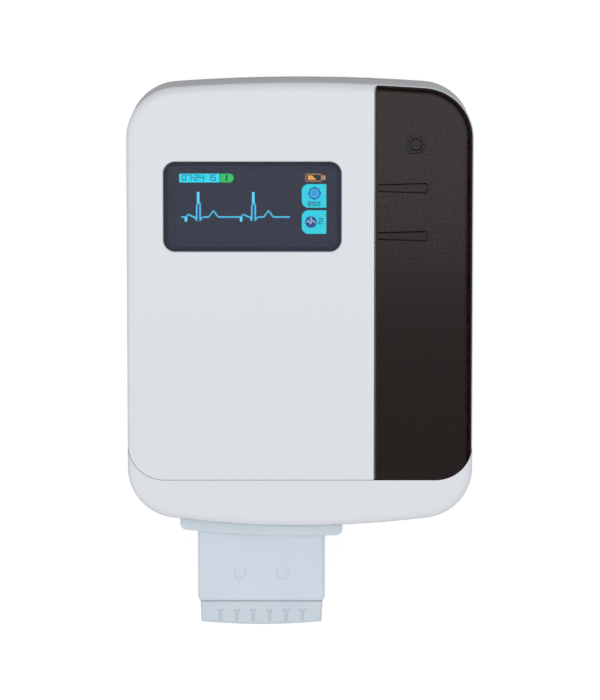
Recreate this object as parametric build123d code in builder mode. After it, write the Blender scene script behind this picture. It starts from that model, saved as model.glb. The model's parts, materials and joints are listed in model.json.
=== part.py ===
"""A pocket ECG recorder lying on its back: X across, Y up the front, Z from the rear face to the front."""

import os
from math import sqrt

from build123d import *

os.makedirs("parts", exist_ok=True)

# Case outline, seen from the front
case_width = 70.0
case_height = 90.27
case_corner_radius = 10.4
top_crown_radius = 350.0
bottom_crown_radius = 209.0
case_wall = 2.0
front_edge_radius = 2.0
rear_edge_radius = 3.0
seam_height = 14.0
seam_gap = 0.1
cut_overrun = 1.0
fit_gap = 0.2
seat_gap = 0.05

# Battery cell, its bay and the sliding door under it
cell_radius = 7.25
cell_length = 49.5
cell_sleeve = 0.2
cell_nub_radius = 2.75
cell_nub_height = 1.0
cell_end_bevel = 0.5
bay_clearance = 0.25
bay_roof = 0.65
bay_side_wall = 3.1
bay_inner_wall = 1.5
bay_end_wall = 1.8
cell_bottom_inset = 8.0
cell_door_gap = 0.3
door_skin_inset = 0.1
door_lip = 1.0
door_rail = 0.6
door_rail_width = 0.8
door_rail_gap = 0.1
door_side_gap = 0.15
grip_groove_count = 5
grip_groove_width = 0.8
grip_groove_pitch = 1.8
grip_groove_length = 9.0
grip_groove_depth = 0.4
grip_from_bottom = 14.0

# Battery contacts
contact_sheet = 0.4
contact_width = 7.0
contact_height = 8.0
leaf_reach = 3.4
leaf_pocket_depth = 3.8
leaf_pocket_width = 8.8

# Boards and what stands between them
board_thickness = 0.8
board_gap = 0.1
key_room = 1.7
board_case_gap = 0.6
analog_case_gap = 0.6
analog_board_top_inset = 33.0
main_board_bottom_inset = 11.0

# Screws that close the case
screw_radius = 1.0
screw_head_radius = 1.9
screw_head_height = 1.3
screw_head_inset = 0.4
screw_end_gap = 0.7
screw_socket_radius = 0.6
screw_socket_depth = 0.7
screw_clearance = 0.1
head_clearance = 0.2
insert_radius = 1.6
insert_length = 4.0
boss_radius = 2.75
post_radius = 3.0
post_height = 6.5
corner_screw_side_inset = 7.0
corner_screw_top_inset = 8.5
middle_screw_bay_gap = 4.4
socket_screw_gap = 0.4

# Small screws that hold the boards
board_screw_radius = 0.8
board_screw_head_radius = 1.4
board_screw_head_height = 0.9
board_post_radius = 1.8
board_screw_end_gap = 0.4
board_screw_side_inset = 5.7
board_screw_bay_gap = 2.9

# Front cover's lower edge and its tongue under the chin
cover_bottom_inset = 9.63
cover_corner_radius = 7.5
tongue_side_inset = 11.0
tongue_reach = 2.6
tongue_root = 1.9
tongue_thickness = 1.0

# Dark strip
strip_width = 19.75
strip_thickness = 1.1
strip_gap = 0.33
strip_edge = 0.35

# Display window and what lies under it
window_height = 18.25
window_left_inset = 7.4
window_strip_gap = 6.85
window_top_inset = 15.85
window_corner_radius = 2.45
window_recess = 0.35
window_thickness = 0.9
window_gap = 0.12
window_bevel = 0.2
adhesive_thickness = 0.15
adhesive_width = 0.9
aperture_border = 1.1
panel_border = 0.5
panel_glass_gap = 0.15
panel_pad = 0.2
flex_width = 12.0
flex_thickness = 0.15
flex_reach = 3.4
display_connector_length = 14.0
display_connector_width = 2.6
display_connector_height = 0.9

# Keys in the strip
softkey_length = 9.85
softkey_left_gap = 0.5
softkey_left_width = 1.25
softkey_right_width = 1.85
softkey_corner = 0.25
softkey_rise_left = 0.1
softkey_rise_right = 0.7
softkey_gap = 0.15
upper_softkey_top_inset = 21.2
softkey_pitch = 9.7
event_top_inset = 12.45
event_right_inset = 11.62
event_radius = 1.24
event_rise = 0.25
event_well_radius = 1.84
event_well_depth = 0.9
event_well_corner = 0.12
event_skirt_gap = 0.12
key_flange_overlap = 0.7
key_flange_thickness = 0.5
key_rest_gap = 0.05
key_travel = 0.3
plunger_radius = 0.85
plunger_gap = 0.06
switch_size = 4.2
softkey_switch_inset = 3.3

# Seal round the joint between the casings
seal_outer_inset = 0.7
seal_width = 0.8
seal_depth = 0.7

# Rating plate recess in the rear wall
plate_height = 22.0
plate_corner = 1.5
plate_thickness = 0.25
plate_recess = 0.3
plate_left_inset = 8.0
plate_door_gap = 7.1
plate_top_inset = 17.0
plate_gap = 0.1

# Lead plug
plug_shift = 1.9
plug_gap = 0.15
flange_side_lip = 3.6
flange_face_lip = 1.3
flange_thickness = 2.53
flange_corner = 1.4
flange_edge = 0.5
plug_body_reach = 16.47
plug_body_corner = 1.0
plug_body_edge = 0.9
plug_wall = 1.2
plug_end_wall = 1.2
plug_parting = 0.08
boot_side_step = 0.45
boot_face_step = 0.5
boot_length = 4.91
boot_taper = 0.2
boot_crown = 0.6
boot_edge = 0.8
boot_neck_side_gap = 0.35
boot_neck_face_gap = 1.1
boot_anchor_side_gap = 0.1
boot_anchor_face_gap = 0.6
boot_anchor_length = 1.3
lead_count = 7
lead_side_margin = 2.4
lead_bore_radius = 1.0
valley_start = 1.65
valley_mouth_width = 1.4
valley_width = 0.6
valley_neck = 0.6
valley_depth = 0.22
nose_width = 22.2
nose_height = 6.8
nose_reach = 11.6
nose_edge = 0.8
nose_tail = 7.0
nose_collar = 0.55
nose_collar_length = 1.6
nose_collar_side_gap = 0.1
nose_collar_face_gap = 0.35
nose_side_wall = 1.9
slot_height = 2.4
slot_depth = 7.5
seal_groove_depth = 0.3
seal_groove_width = 1.0
seal_from_case = 1.2
seal_proud = 0.2
dimple_radius = 1.3
dimple_depth = 0.15
plug_screw_spread = 8.8
plug_screw_reach = 10.5
plug_screw_radius = 0.7
plug_screw_head_radius = 1.2
plug_screw_head_height = 1.1
plug_screw_head_inset = 0.3
plug_screw_end_gap = 0.6
plug_boss_radius = 2.1
plug_board_side_gap = 1.05
clamp_length = 0.9

# Lead socket in the case
socket_opening_gap = 0.3
socket_wall = 1.1
socket_back_wall = 1.1
nose_tip_gap = 0.4
socket_pad_inset = 3.0
socket_pad_border = 1.5
gasket_thickness = 0.6
gasket_border = 0.9
tongue_blade = 1.2
tongue_blade_side_gap = 0.6
slot_end_gap = 0.9
contact_count = 8
contact_side_margin = 1.4
contact_strip_width = 1.0
contact_strip_thickness = 0.15
contact_tail = 0.9
plug_contact_thickness = 0.2

# Parts on the main board
chip_gap = 0.02
processor_size = 10.0
processor_height = 1.0
memory_width = 6.0
memory_length = 8.0
memory_height = 0.9
sensor_size = 3.0
sensor_height = 0.9
crystal_length = 3.2
crystal_width = 1.5
crystal_height = 0.8
capacitor_length = 1.0
capacitor_width = 0.5
capacitor_height = 0.5
capacitor_count = 8
capacitor_pitch = 2.2
card_width = 11.0
card_length = 15.0
card_thickness = 0.7
card_socket_wall = 0.5
card_socket_floor = 0.3
card_gap = 0.15
backup_radius = 4.75
backup_thickness = 2.1
backup_clip_thickness = 0.2
backup_clip_width = 3.0
backup_clip_foot = 1.2
buzzer_radius = 4.5
buzzer_height = 3.0
buzzer_hole_radius = 0.9
buzzer_hole_depth = 0.6

# Parts on the signal board
can_width = 20.0
can_length = 19.0
can_height = 3.2
can_sheet = 0.3
can_screw_gap = 3.2
can_socket_gap = 1.4
can_corner = 0.6
amplifier_size = 6.0
amplifier_height = 1.0
amplifier_pitch = 8.6
header_length = 17.0
header_width = 4.0
header_base_height = 5.7
header_pin = 0.5
header_pin_pitch = 2.0
header_pin_rows = 2
header_pin_columns = 8
header_pin_end_gap = 1.5

# Places across the boards, as shares of the case's half width and half height. Row shares run from the
# display's connector down to the main board's lower edge
processor_share = -0.37
memory_share = -0.02
capacitor_share = -0.7
sensor_share = (0.25, -0.02)
card_share = (-0.5, -0.33)
backup_share = (-0.5, 0.36)
buzzer_share = (-0.1, 0.6)
header_share = (0.02, 0.08)
processor_row_share = 0.29
memory_row_shares = (0.25, 0.6)
crystal_row_share = 0.55
capacitor_row_share = 0.64
lower_board_screw_share = -0.43
upper_board_screw_share = 0.135
upper_analog_screw_share = 0.2
chip_corner_share = 0.125
chip_dimple_share = 0.33
leaf_tip_reach_share = 0.33
leaf_tip_height_share = 0.75
flex_end_share = 0.25

# Heights worked out from the rear face to the front, so the stack always closes
door_top = door_lip + door_rail_gap + door_rail
cell_axis = door_top + cell_door_gap + cell_radius
bay_ceiling = cell_axis + cell_radius + bay_clearance
bay_top = bay_ceiling + bay_roof
main_board_bottom = bay_top + board_gap
main_board_top = main_board_bottom + board_thickness
front_inner = main_board_top + key_room
case_depth = front_inner + case_wall
strip_bottom = case_depth - strip_thickness
window_top = case_depth - window_recess
window_bottom = window_top - window_thickness
window_ledge = window_bottom - adhesive_thickness
panel_bottom = main_board_top + panel_pad
panel_top = front_inner - panel_glass_gap
key_flange_top = front_inner - key_rest_gap
key_flange_bottom = key_flange_top - key_flange_thickness
switch_top = key_flange_bottom - key_travel - key_rest_gap
plunger_bottom = main_board_top + key_travel + key_rest_gap

# Lines across the case, worked out from its outline
half_width = case_width / 2
half_height = case_height / 2
bay_x = half_width - bay_side_wall - bay_clearance - cell_radius
bay_half = cell_radius + bay_clearance
bay_left = bay_x - bay_half - bay_inner_wall
cell_low = -half_height + cell_bottom_inset
cell_high = cell_low + cell_length
nub_high = cell_high + cell_nub_height
bay_high = nub_high + 2 * contact_sheet
bay_block_high = bay_high + bay_end_wall
door_high = bay_high + bay_end_wall / 2
cover_low = -half_height + cover_bottom_inset
main_board_low = -half_height + main_board_bottom_inset
tongue_left = -half_width + tongue_side_inset
window_y = half_height - window_top_inset - window_height / 2
strip_left = half_width - strip_width
window_width = strip_left - window_strip_gap + half_width - window_left_inset
window_x = -half_width + window_left_inset + window_width / 2
softkey_left = strip_left + softkey_left_gap
softkey_right = softkey_left + softkey_length
switch_x = softkey_right - softkey_switch_inset
upper_key_y = half_height - upper_softkey_top_inset
lower_key_y = upper_key_y - softkey_pitch
event_x = half_width - event_right_inset
event_y = half_height - event_top_inset
switch_places = [(event_x, event_y), (switch_x, upper_key_y), (switch_x, lower_key_y)]

# Screw places
corner_screw_x = half_width - corner_screw_side_inset
top_screw_y = half_height - corner_screw_top_inset
middle_screw_x = bay_left - middle_screw_bay_gap
socket_pad_face = -half_height + socket_pad_inset
socket_front = socket_pad_face + gasket_thickness
nose_tip = -half_height + nose_reach
socket_cavity_back = nose_tip + nose_tip_gap
socket_back = socket_cavity_back + socket_back_wall
first_row_tail = socket_back + contact_tail
second_row_tail = first_row_tail + contact_tail
lower_screw_y = socket_back + socket_screw_gap + post_radius
screw_places = [
    (-corner_screw_x, top_screw_y),
    (corner_screw_x, top_screw_y),
    (-corner_screw_x, lower_screw_y),
    (middle_screw_x, lower_screw_y),
]
head_top = screw_head_inset + screw_head_height
post_top = case_wall + post_height
boss_bottom = post_top + fit_gap
insert_top = boss_bottom + insert_length
screw_end = insert_top - screw_end_gap

board_screw_left = -half_width + board_screw_side_inset
board_screw_right = bay_left - board_screw_bay_gap
lower_board_screw_y = lower_board_screw_share * half_height
upper_analog_screw_y = upper_analog_screw_share * half_height
board_screw_places = [
    (board_screw_left, upper_board_screw_share * half_height),
    (board_screw_left, lower_board_screw_y),
    (board_screw_right, top_screw_y),
    (board_screw_right, lower_board_screw_y),
]
analog_screw_places = [
    (board_screw_left, upper_analog_screw_y),
    (board_screw_left, lower_board_screw_y),
    (board_screw_right, upper_analog_screw_y),
    (board_screw_right, lower_board_screw_y),
]

# The plug is worked out from its nose, outwards through the collar, the body, the flange and the boot
plug_inner_width = nose_width + 2 * (nose_collar + nose_collar_side_gap)
plug_inner_height = nose_height + 2 * (nose_collar + nose_collar_face_gap)
plug_body_width = plug_inner_width + 2 * plug_wall
plug_body_height = plug_inner_height + 2 * plug_wall
flange_width = plug_body_width + 2 * flange_side_lip
flange_height = plug_body_height + 2 * flange_face_lip
boot_width = plug_body_width - 2 * boot_side_step
boot_height = plug_body_height - 2 * boot_face_step
boot_neck_width = plug_inner_width - 2 * boot_neck_side_gap
boot_neck_height = plug_inner_height - 2 * boot_neck_face_gap
boot_anchor_width = plug_inner_width - 2 * boot_anchor_side_gap
boot_anchor_height = plug_inner_height - 2 * boot_anchor_face_gap
plug_board_width = plug_inner_width - 2 * plug_board_side_gap
lead_pitch = (boot_width - 2 * lead_side_margin) / (lead_count - 1)
slot_width = nose_width - 2 * nose_side_wall
tongue_blade_width = slot_width - 2 * tongue_blade_side_gap
contact_pitch = (tongue_blade_width - 2 * contact_side_margin) / (contact_count - 1)

# The plug and its socket share one axis along Y, a little to the right of the middle of their room
plug_x = (bay_left - half_width) / 2 + plug_shift
plug_z = case_depth / 2
bottom_crown_y = -half_height + bottom_crown_radius
flange_face_radius = bottom_crown_radius + plug_gap
flange_back_radius = flange_face_radius + flange_thickness
shell_face_radius = flange_back_radius + seat_gap
shell_low = -half_height - plug_body_reach
boot_low = shell_low - boot_length
socket_cavity_half_width = nose_width / 2 + fit_gap
socket_cavity_half_height = nose_height / 2 + fit_gap
socket_half_width = socket_cavity_half_width + socket_wall
socket_half_height = socket_cavity_half_height + socket_wall
opening_width = nose_width + 2 * socket_opening_gap
opening_height = nose_height + 2 * socket_opening_gap
gasket_half = opening_width / 2 + gasket_border
cavity_back = -half_height - flange_thickness - plug_end_wall
cavity_low = shell_low + plug_end_wall
analog_top = plug_z - socket_half_height - seat_gap
analog_bottom = analog_top - board_thickness
analog_high = half_height - analog_board_top_inset
analog_low = socket_pad_face + board_case_gap


def crown_sag(half_span, radius):
    """How far a crowned edge falls away from its peak at half_span from the middle."""
    return radius - sqrt(radius**2 - half_span**2)


def lower_crown(x, radius):
    """Height of the bottom crown's circle, or of one concentric with it, at x."""
    return bottom_crown_y - sqrt(radius**2 - x**2)


def case_outline(inset):
    """The case's outline, drawn in by inset: two crowned ends, straight sides, round corners."""
    side = half_width - inset
    top = half_height - inset
    bottom = -half_height + inset
    top_corner = top - crown_sag(side, top_crown_radius - inset)
    bottom_corner = bottom + crown_sag(side, bottom_crown_radius - inset)
    with BuildSketch() as outline:
        with BuildLine():
            ThreePointArc((-side, top_corner), (0, top), (side, top_corner))
            Line((side, top_corner), (side, bottom_corner))
            ThreePointArc((side, bottom_corner), (0, bottom), (-side, bottom_corner))
            Line((-side, bottom_corner), (-side, top_corner))
        make_face()
        fillet(outline.vertices(), case_corner_radius - inset)
    return outline.sketch


def cover_outline(grow):
    """The front cover's sides and rounded lower edge, grown by grow and run past the case's top."""
    side = half_width + grow
    low = cover_low - grow
    high = half_height + cut_overrun
    with BuildSketch() as outline:
        with Locations((0, (low + high) / 2)):
            Rectangle(2 * side, high - low)
        fillet(outline.vertices().group_by(Axis.Y)[0], cover_corner_radius + grow)
    return outline.sketch


def area(x_low, x_high, y_low, y_high, mode=Mode.ADD):
    """A rectangle between two lines each way, in the sketch that is open."""
    with Locations(((x_low + x_high) / 2, (y_low + y_high) / 2)):
        Rectangle(x_high - x_low, y_high - y_low, mode=mode)


def facing_down(y):
    """A plane across the case at y, with X and Z as its axes; extrusions run towards the bottom end."""
    return Plane.XZ.offset(-y)


def finish(piece, name):
    """Labels a finished piece and writes it."""
    piece.part.label = name
    export_step(piece.part, f"parts/{name}.step")


outer_outline = case_outline(0)
inner_outline = case_outline(case_wall)

# The whole case as one block with its rounded edges; the casings are cut from it so their surfaces run on
with BuildPart() as case_block:
    with BuildSketch():
        add(outer_outline)
    extrude(amount=case_depth)
    fillet(case_block.edges().group_by(Axis.Z)[-1], front_edge_radius)
    fillet(case_block.edges().group_by(Axis.Z)[0], rear_edge_radius)


def softkey_plan(key_y, grow):
    """A soft key seen from the front: a bar that widens to the right, with small round corners there."""
    left = softkey_left - grow
    right = softkey_right + grow
    left_half = softkey_left_width / 2 + grow
    right_half = softkey_right_width / 2 + grow
    with BuildSketch() as plan:
        with BuildLine():
            Polyline(
                (left, key_y - left_half),
                (right, key_y - right_half),
                (right, key_y + right_half),
                (left, key_y + left_half),
                close=True,
            )
        make_face()
        fillet(plan.vertices().group_by(Axis.X)[-1], softkey_corner + grow)
    return plan.sketch


def well_plan(grow):
    """The event key's well seen from the front: a circle with a square left side, so the key can't turn."""
    radius = event_well_radius + grow
    with BuildSketch() as plan:
        with Locations((event_x, event_y)):
            Circle(radius)
        area(event_x - radius, event_x, event_y - radius, event_y + radius)
        fillet(plan.vertices().group_by(Axis.X)[0], event_well_corner)
    return plan.sketch


upper_key_slot = softkey_plan(upper_key_y, softkey_gap)
lower_key_slot = softkey_plan(lower_key_y, softkey_gap)
event_well = well_plan(0)

# Rear housing: a tub with the chin, the battery bay, screw posts and the socket's opening
with BuildPart() as rear_housing:
    add(case_block.part)
    with BuildSketch(Plane.XY.offset(case_wall)):
        add(inner_outline)
    extrude(amount=front_inner - case_wall, mode=Mode.SUBTRACT)
    with BuildSketch(Plane.XY.offset(seam_height)):
        add(cover_outline(seam_gap))
    extrude(amount=case_depth - seam_height + cut_overrun, mode=Mode.SUBTRACT)
    # Bay walls: up to the seam they join the side wall, above it they stand clear of the cover
    with BuildSketch(Plane.XY.offset(case_wall / 2)):
        add(case_outline(case_wall / 2))
        area(bay_left, half_width, -half_height, bay_block_high, mode=Mode.INTERSECT)
    extrude(amount=seam_height - case_wall / 2)
    with BuildSketch(Plane.XY.offset(seam_height)):
        add(case_outline(case_wall + fit_gap))
        area(bay_left, half_width, -half_height, bay_block_high, mode=Mode.INTERSECT)
    extrude(amount=bay_top - seam_height)
    # Pad that gives the socket and its gasket a flat seat inside the crowned bottom wall
    pad_half = opening_width / 2 + socket_pad_border
    with BuildSketch(Plane.XY.offset(case_wall / 2)):
        add(case_outline(case_wall / 2))
        area(plug_x - pad_half, plug_x + pad_half, -half_height, socket_pad_face, mode=Mode.INTERSECT)
    extrude(amount=plug_z + opening_height / 2 + socket_pad_border - case_wall / 2)
    with BuildSketch(Plane.XY.offset(plug_z - opening_height / 2 - gasket_border)):
        area(plug_x - gasket_half, plug_x + gasket_half, socket_pad_face, socket_front)
    extrude(amount=opening_height + 2 * gasket_border, mode=Mode.SUBTRACT)
    # Posts under the case screws and under the signal board
    with BuildSketch(Plane.XY.offset(case_wall / 2)):
        with Locations(*screw_places):
            Circle(post_radius)
    extrude(amount=post_top - case_wall / 2)
    with BuildSketch(Plane.XY.offset(case_wall / 2)):
        with Locations(*analog_screw_places):
            Circle(board_post_radius)
    extrude(amount=analog_bottom - case_wall / 2)
    with BuildSketch(Plane.XY.offset(case_wall / 2)):
        with Locations(*analog_screw_places):
            Circle(board_screw_radius)
    extrude(amount=analog_bottom, mode=Mode.SUBTRACT)
    # Screw holes with their recesses
    with BuildSketch():
        with Locations(*screw_places):
            Circle(screw_head_radius + head_clearance)
    extrude(amount=head_top, mode=Mode.SUBTRACT)
    with BuildSketch():
        with Locations(*screw_places):
            Circle(screw_radius + screw_clearance)
    extrude(amount=post_top, mode=Mode.SUBTRACT)
    # Battery pocket with the contacts' pockets at both ends
    with BuildSketch():
        area(bay_x - bay_half, bay_x + bay_half, cell_low - seat_gap, bay_high)
    extrude(amount=bay_ceiling, mode=Mode.SUBTRACT)
    with BuildSketch(Plane.XY.offset(cell_axis - contact_height / 2 - fit_gap)):
        area(
            bay_x - leaf_pocket_width / 2,
            bay_x + leaf_pocket_width / 2,
            cell_low - leaf_pocket_depth,
            cell_low,
        )
    extrude(amount=contact_height + 2 * fit_gap, mode=Mode.SUBTRACT)
    # Door slot: the lips hold the rails up, and the slot runs out through the bottom edge
    with BuildSketch():
        area(bay_x - bay_half, bay_x + bay_half, -half_height - cut_overrun, door_high)
    extrude(amount=door_top + door_rail_gap, mode=Mode.SUBTRACT)
    rail_reach = bay_half + door_rail_width
    with BuildSketch(Plane.XY.offset(door_lip)):
        area(bay_x - rail_reach, bay_x + rail_reach, -half_height - cut_overrun, door_high)
    extrude(amount=door_top + door_rail_gap - door_lip, mode=Mode.SUBTRACT)
    # Opening for the plug's nose
    with BuildSketch(facing_down(socket_pad_face + cut_overrun)):
        with Locations((plug_x, plug_z)):
            RectangleRounded(opening_width, opening_height, nose_edge + socket_opening_gap)
    extrude(amount=socket_pad_inset + 2 * cut_overrun, mode=Mode.SUBTRACT)
    # Groove for the seal along the top and both sides
    with BuildSketch(Plane.XY.offset(seam_height - seal_depth)):
        add(case_outline(seal_outer_inset))
        add(case_outline(seal_outer_inset + seal_width), mode=Mode.SUBTRACT)
        area(-half_width, half_width, lower_screw_y, half_height, mode=Mode.INTERSECT)
    extrude(amount=seal_depth + cut_overrun, mode=Mode.SUBTRACT)
    # Recess for the rating plate
    plate_low_x = -half_width + plate_left_inset
    plate_width = bay_x - rail_reach - plate_door_gap - plate_low_x
    plate_x = plate_low_x + plate_width / 2
    plate_y = half_height - plate_top_inset - plate_height / 2
    with BuildSketch():
        with Locations((plate_x, plate_y)):
            RectangleRounded(plate_width, plate_height, plate_corner)
    extrude(amount=plate_recess, mode=Mode.SUBTRACT)
finish(rear_housing, "rear_housing")

# Front cover: a shallow lid with the window pocket, the strip's recess and the key slots
with BuildPart() as front_cover:
    add(case_block.part)
    with BuildSketch(Plane.XY.offset(seam_height)):
        add(cover_outline(0))
    extrude(amount=case_depth - seam_height + cut_overrun, mode=Mode.INTERSECT)
    with BuildSketch(Plane.XY.offset(seam_height - cut_overrun)):
        add(inner_outline)
    extrude(amount=front_inner - seam_height + cut_overrun, mode=Mode.SUBTRACT)
    with BuildSketch(Plane.XY.offset(boss_bottom)):
        with Locations(*screw_places):
            Circle(boss_radius)
    extrude(amount=front_inner - boss_bottom)
    with BuildSketch(Plane.XY.offset(main_board_top + seat_gap)):
        with Locations(*board_screw_places):
            Circle(board_post_radius)
    extrude(amount=front_inner - main_board_top - seat_gap)
    # Tongue that slides under the chin
    with BuildSketch(Plane.XY.offset(front_inner - fit_gap)):
        area(tongue_left, strip_left, cover_low + seat_gap, cover_low + tongue_root)
    extrude(amount=fit_gap)
    with BuildSketch(Plane.XY.offset(front_inner - fit_gap - tongue_thickness)):
        area(tongue_left, strip_left, cover_low - tongue_reach, cover_low + tongue_root)
    extrude(amount=tongue_thickness)
    # Holes for the inserts, the case screws and the board screws
    with BuildSketch(Plane.XY.offset(boss_bottom)):
        with Locations(*screw_places):
            Circle(insert_radius)
    extrude(amount=insert_length, mode=Mode.SUBTRACT)
    with BuildSketch(Plane.XY.offset(main_board_top)):
        with Locations(*board_screw_places):
            Circle(board_screw_radius)
    extrude(amount=key_room, mode=Mode.SUBTRACT)
    # Window pocket and the narrower aperture below its ledge
    with BuildSketch(Plane.XY.offset(window_ledge)):
        with Locations((window_x, window_y)):
            RectangleRounded(window_width, window_height, window_corner_radius)
    extrude(amount=case_depth - window_ledge, mode=Mode.SUBTRACT)
    chamfer(
        front_cover.edges().group_by(Axis.Z)[-1].filter_by_position(
            Axis.X, window_x - window_width / 2 - seat_gap, window_x + window_width / 2 + seat_gap
        ).filter_by_position(
            Axis.Y, window_y - window_height / 2 - seat_gap, window_y + window_height / 2 + seat_gap
        ),
        window_bevel,
    )
    with BuildSketch(Plane.XY.offset(front_inner - cut_overrun)):
        with Locations((window_x, window_y)):
            RectangleRounded(
                window_width - 2 * aperture_border,
                window_height - 2 * aperture_border,
                window_corner_radius - aperture_border,
            )
    extrude(amount=window_ledge - front_inner + 2 * cut_overrun, mode=Mode.SUBTRACT)
    # Recess for the dark strip
    with BuildSketch(Plane.XY.offset(strip_bottom)):
        area(
            strip_left - strip_gap,
            half_width + cut_overrun,
            cover_low - cut_overrun,
            half_height + cut_overrun,
        )
    extrude(amount=strip_thickness + cut_overrun, mode=Mode.SUBTRACT)
    with BuildSketch(Plane.XY.offset(front_inner - cut_overrun)):
        add(upper_key_slot)
        add(lower_key_slot)
        add(event_well)
    extrude(amount=case_wall + 2 * cut_overrun, mode=Mode.SUBTRACT)
finish(front_cover, "front_cover")

# Dark strip: its front and its sides run on from the cover's, round edges and all
with BuildPart() as side_strip:
    add(case_block.part)
    with BuildSketch(Plane.XY.offset(strip_bottom)):
        add(cover_outline(0))
        area(strip_left, half_width, cover_low, half_height, mode=Mode.INTERSECT)
    extrude(amount=strip_thickness + cut_overrun, mode=Mode.INTERSECT)
    fillet(
        side_strip.edges().group_by(Axis.Z)[-1].filter_by(Axis.Y).sort_by(Axis.X)[0],
        strip_edge,
    )
    with BuildSketch(Plane.XY.offset(strip_bottom - cut_overrun)):
        add(upper_key_slot)
        add(lower_key_slot)
        add(event_well)
    extrude(amount=strip_thickness + 2 * cut_overrun, mode=Mode.SUBTRACT)
finish(side_strip, "side_strip")

# Display window: a flat lens on its adhesive frame
with BuildPart() as display_window:
    with BuildSketch(Plane.XY.offset(window_bottom)):
        with Locations((window_x, window_y)):
            RectangleRounded(
                window_width - 2 * window_gap,
                window_height - 2 * window_gap,
                window_corner_radius - window_gap,
            )
    extrude(amount=window_thickness)
finish(display_window, "display_window")

with BuildPart() as window_adhesive:
    with BuildSketch(Plane.XY.offset(window_ledge)):
        with Locations((window_x, window_y)):
            RectangleRounded(
                window_width - 2 * window_gap,
                window_height - 2 * window_gap,
                window_corner_radius - window_gap,
            )
            RectangleRounded(
                window_width - 2 * window_gap - 2 * adhesive_width,
                window_height - 2 * window_gap - 2 * adhesive_width,
                window_corner_radius - window_gap - adhesive_width,
                mode=Mode.SUBTRACT,
            )
    extrude(amount=adhesive_thickness)
finish(window_adhesive, "window_adhesive")

# Seal in the groove between the casings, open at the bottom where the chin closes the case
with BuildPart() as housing_seal:
    with BuildSketch(Plane.XY.offset(seam_height - seal_depth)):
        add(case_outline(seal_outer_inset + seat_gap))
        add(case_outline(seal_outer_inset + seal_width - seat_gap), mode=Mode.SUBTRACT)
        area(-half_width, half_width, lower_screw_y + seat_gap, half_height, mode=Mode.INTERSECT)
    extrude(amount=seal_depth)
finish(housing_seal, "housing_seal")

with BuildPart() as rating_plate:
    with BuildSketch(Plane.XY.offset(plate_recess - plate_thickness)):
        with Locations((plate_x, plate_y)):
            RectangleRounded(
                plate_width - 2 * plate_gap,
                plate_height - 2 * plate_gap,
                plate_corner - plate_gap,
            )
    extrude(amount=plate_thickness)
finish(rating_plate, "rating_plate")

# Case screws with hexagon sockets, driven from the rear into brass inserts
with BuildPart() as housing_screws:
    with BuildSketch(Plane.XY.offset(screw_head_inset)):
        with Locations(*screw_places):
            Circle(screw_head_radius)
    extrude(amount=screw_head_height)
    with BuildSketch(Plane.XY.offset(head_top)):
        with Locations(*screw_places):
            Circle(screw_radius)
    extrude(amount=screw_end - head_top)
    with BuildSketch(Plane.XY.offset(screw_head_inset)):
        with Locations(*screw_places):
            RegularPolygon(screw_socket_radius, 6)
    extrude(amount=screw_socket_depth, mode=Mode.SUBTRACT)
finish(housing_screws, "housing_screws")

with BuildPart() as cover_inserts:
    with BuildSketch(Plane.XY.offset(boss_bottom)):
        with Locations(*screw_places):
            Circle(insert_radius)
            Circle(screw_radius + seat_gap, mode=Mode.SUBTRACT)
    extrude(amount=insert_length)
finish(cover_inserts, "cover_inserts")

# Battery: a steel can with its positive nub, and the printed sleeve shrunk round it
with BuildPart() as battery_cell:
    with BuildSketch(facing_down(cell_high)):
        with Locations((bay_x, cell_axis)):
            Circle(cell_radius - cell_sleeve)
    extrude(amount=cell_length)
    fillet(battery_cell.edges().filter_by(GeomType.CIRCLE), cell_end_bevel)
    with BuildSketch(facing_down(nub_high)):
        with Locations((bay_x, cell_axis)):
            Circle(cell_nub_radius)
    extrude(amount=cell_nub_height)
finish(battery_cell, "battery_cell")

with BuildPart() as battery_sleeve:
    with BuildSketch(facing_down(cell_high - cell_end_bevel)):
        with Locations((bay_x, cell_axis)):
            Circle(cell_radius)
            Circle(cell_radius - cell_sleeve, mode=Mode.SUBTRACT)
    extrude(amount=cell_length - 2 * cell_end_bevel)
finish(battery_sleeve, "battery_sleeve")

# Contacts: a flat plate at the positive end and a bowed leaf at the negative end
with BuildPart() as positive_contact:
    with BuildSketch(facing_down(nub_high + contact_sheet + seat_gap)):
        with Locations((bay_x, cell_axis)):
            Rectangle(contact_width, contact_height)
    extrude(amount=contact_sheet)
    fillet(positive_contact.edges().filter_by(Axis.Y), cell_end_bevel)
finish(positive_contact, "positive_contact")

leaf_back = cell_low - leaf_pocket_depth + contact_sheet / 2
leaf_half = contact_height / 2
leaf_tip_y = leaf_back + leaf_reach * leaf_tip_reach_share
leaf_tip_z = cell_axis - leaf_half * leaf_tip_height_share
with BuildPart() as negative_contact:
    with BuildSketch(Plane.YZ.offset(bay_x - contact_width / 2)):
        with BuildLine():
            FilletPolyline(
                (leaf_back, cell_axis - leaf_half),
                (leaf_back, cell_axis + leaf_half),
                (leaf_back + leaf_reach - contact_sheet, cell_axis),
                (leaf_tip_y, leaf_tip_z),
                radius=contact_sheet,
            )
        trace(line_width=contact_sheet)
    extrude(amount=contact_width)
finish(negative_contact, "negative_contact")

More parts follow.
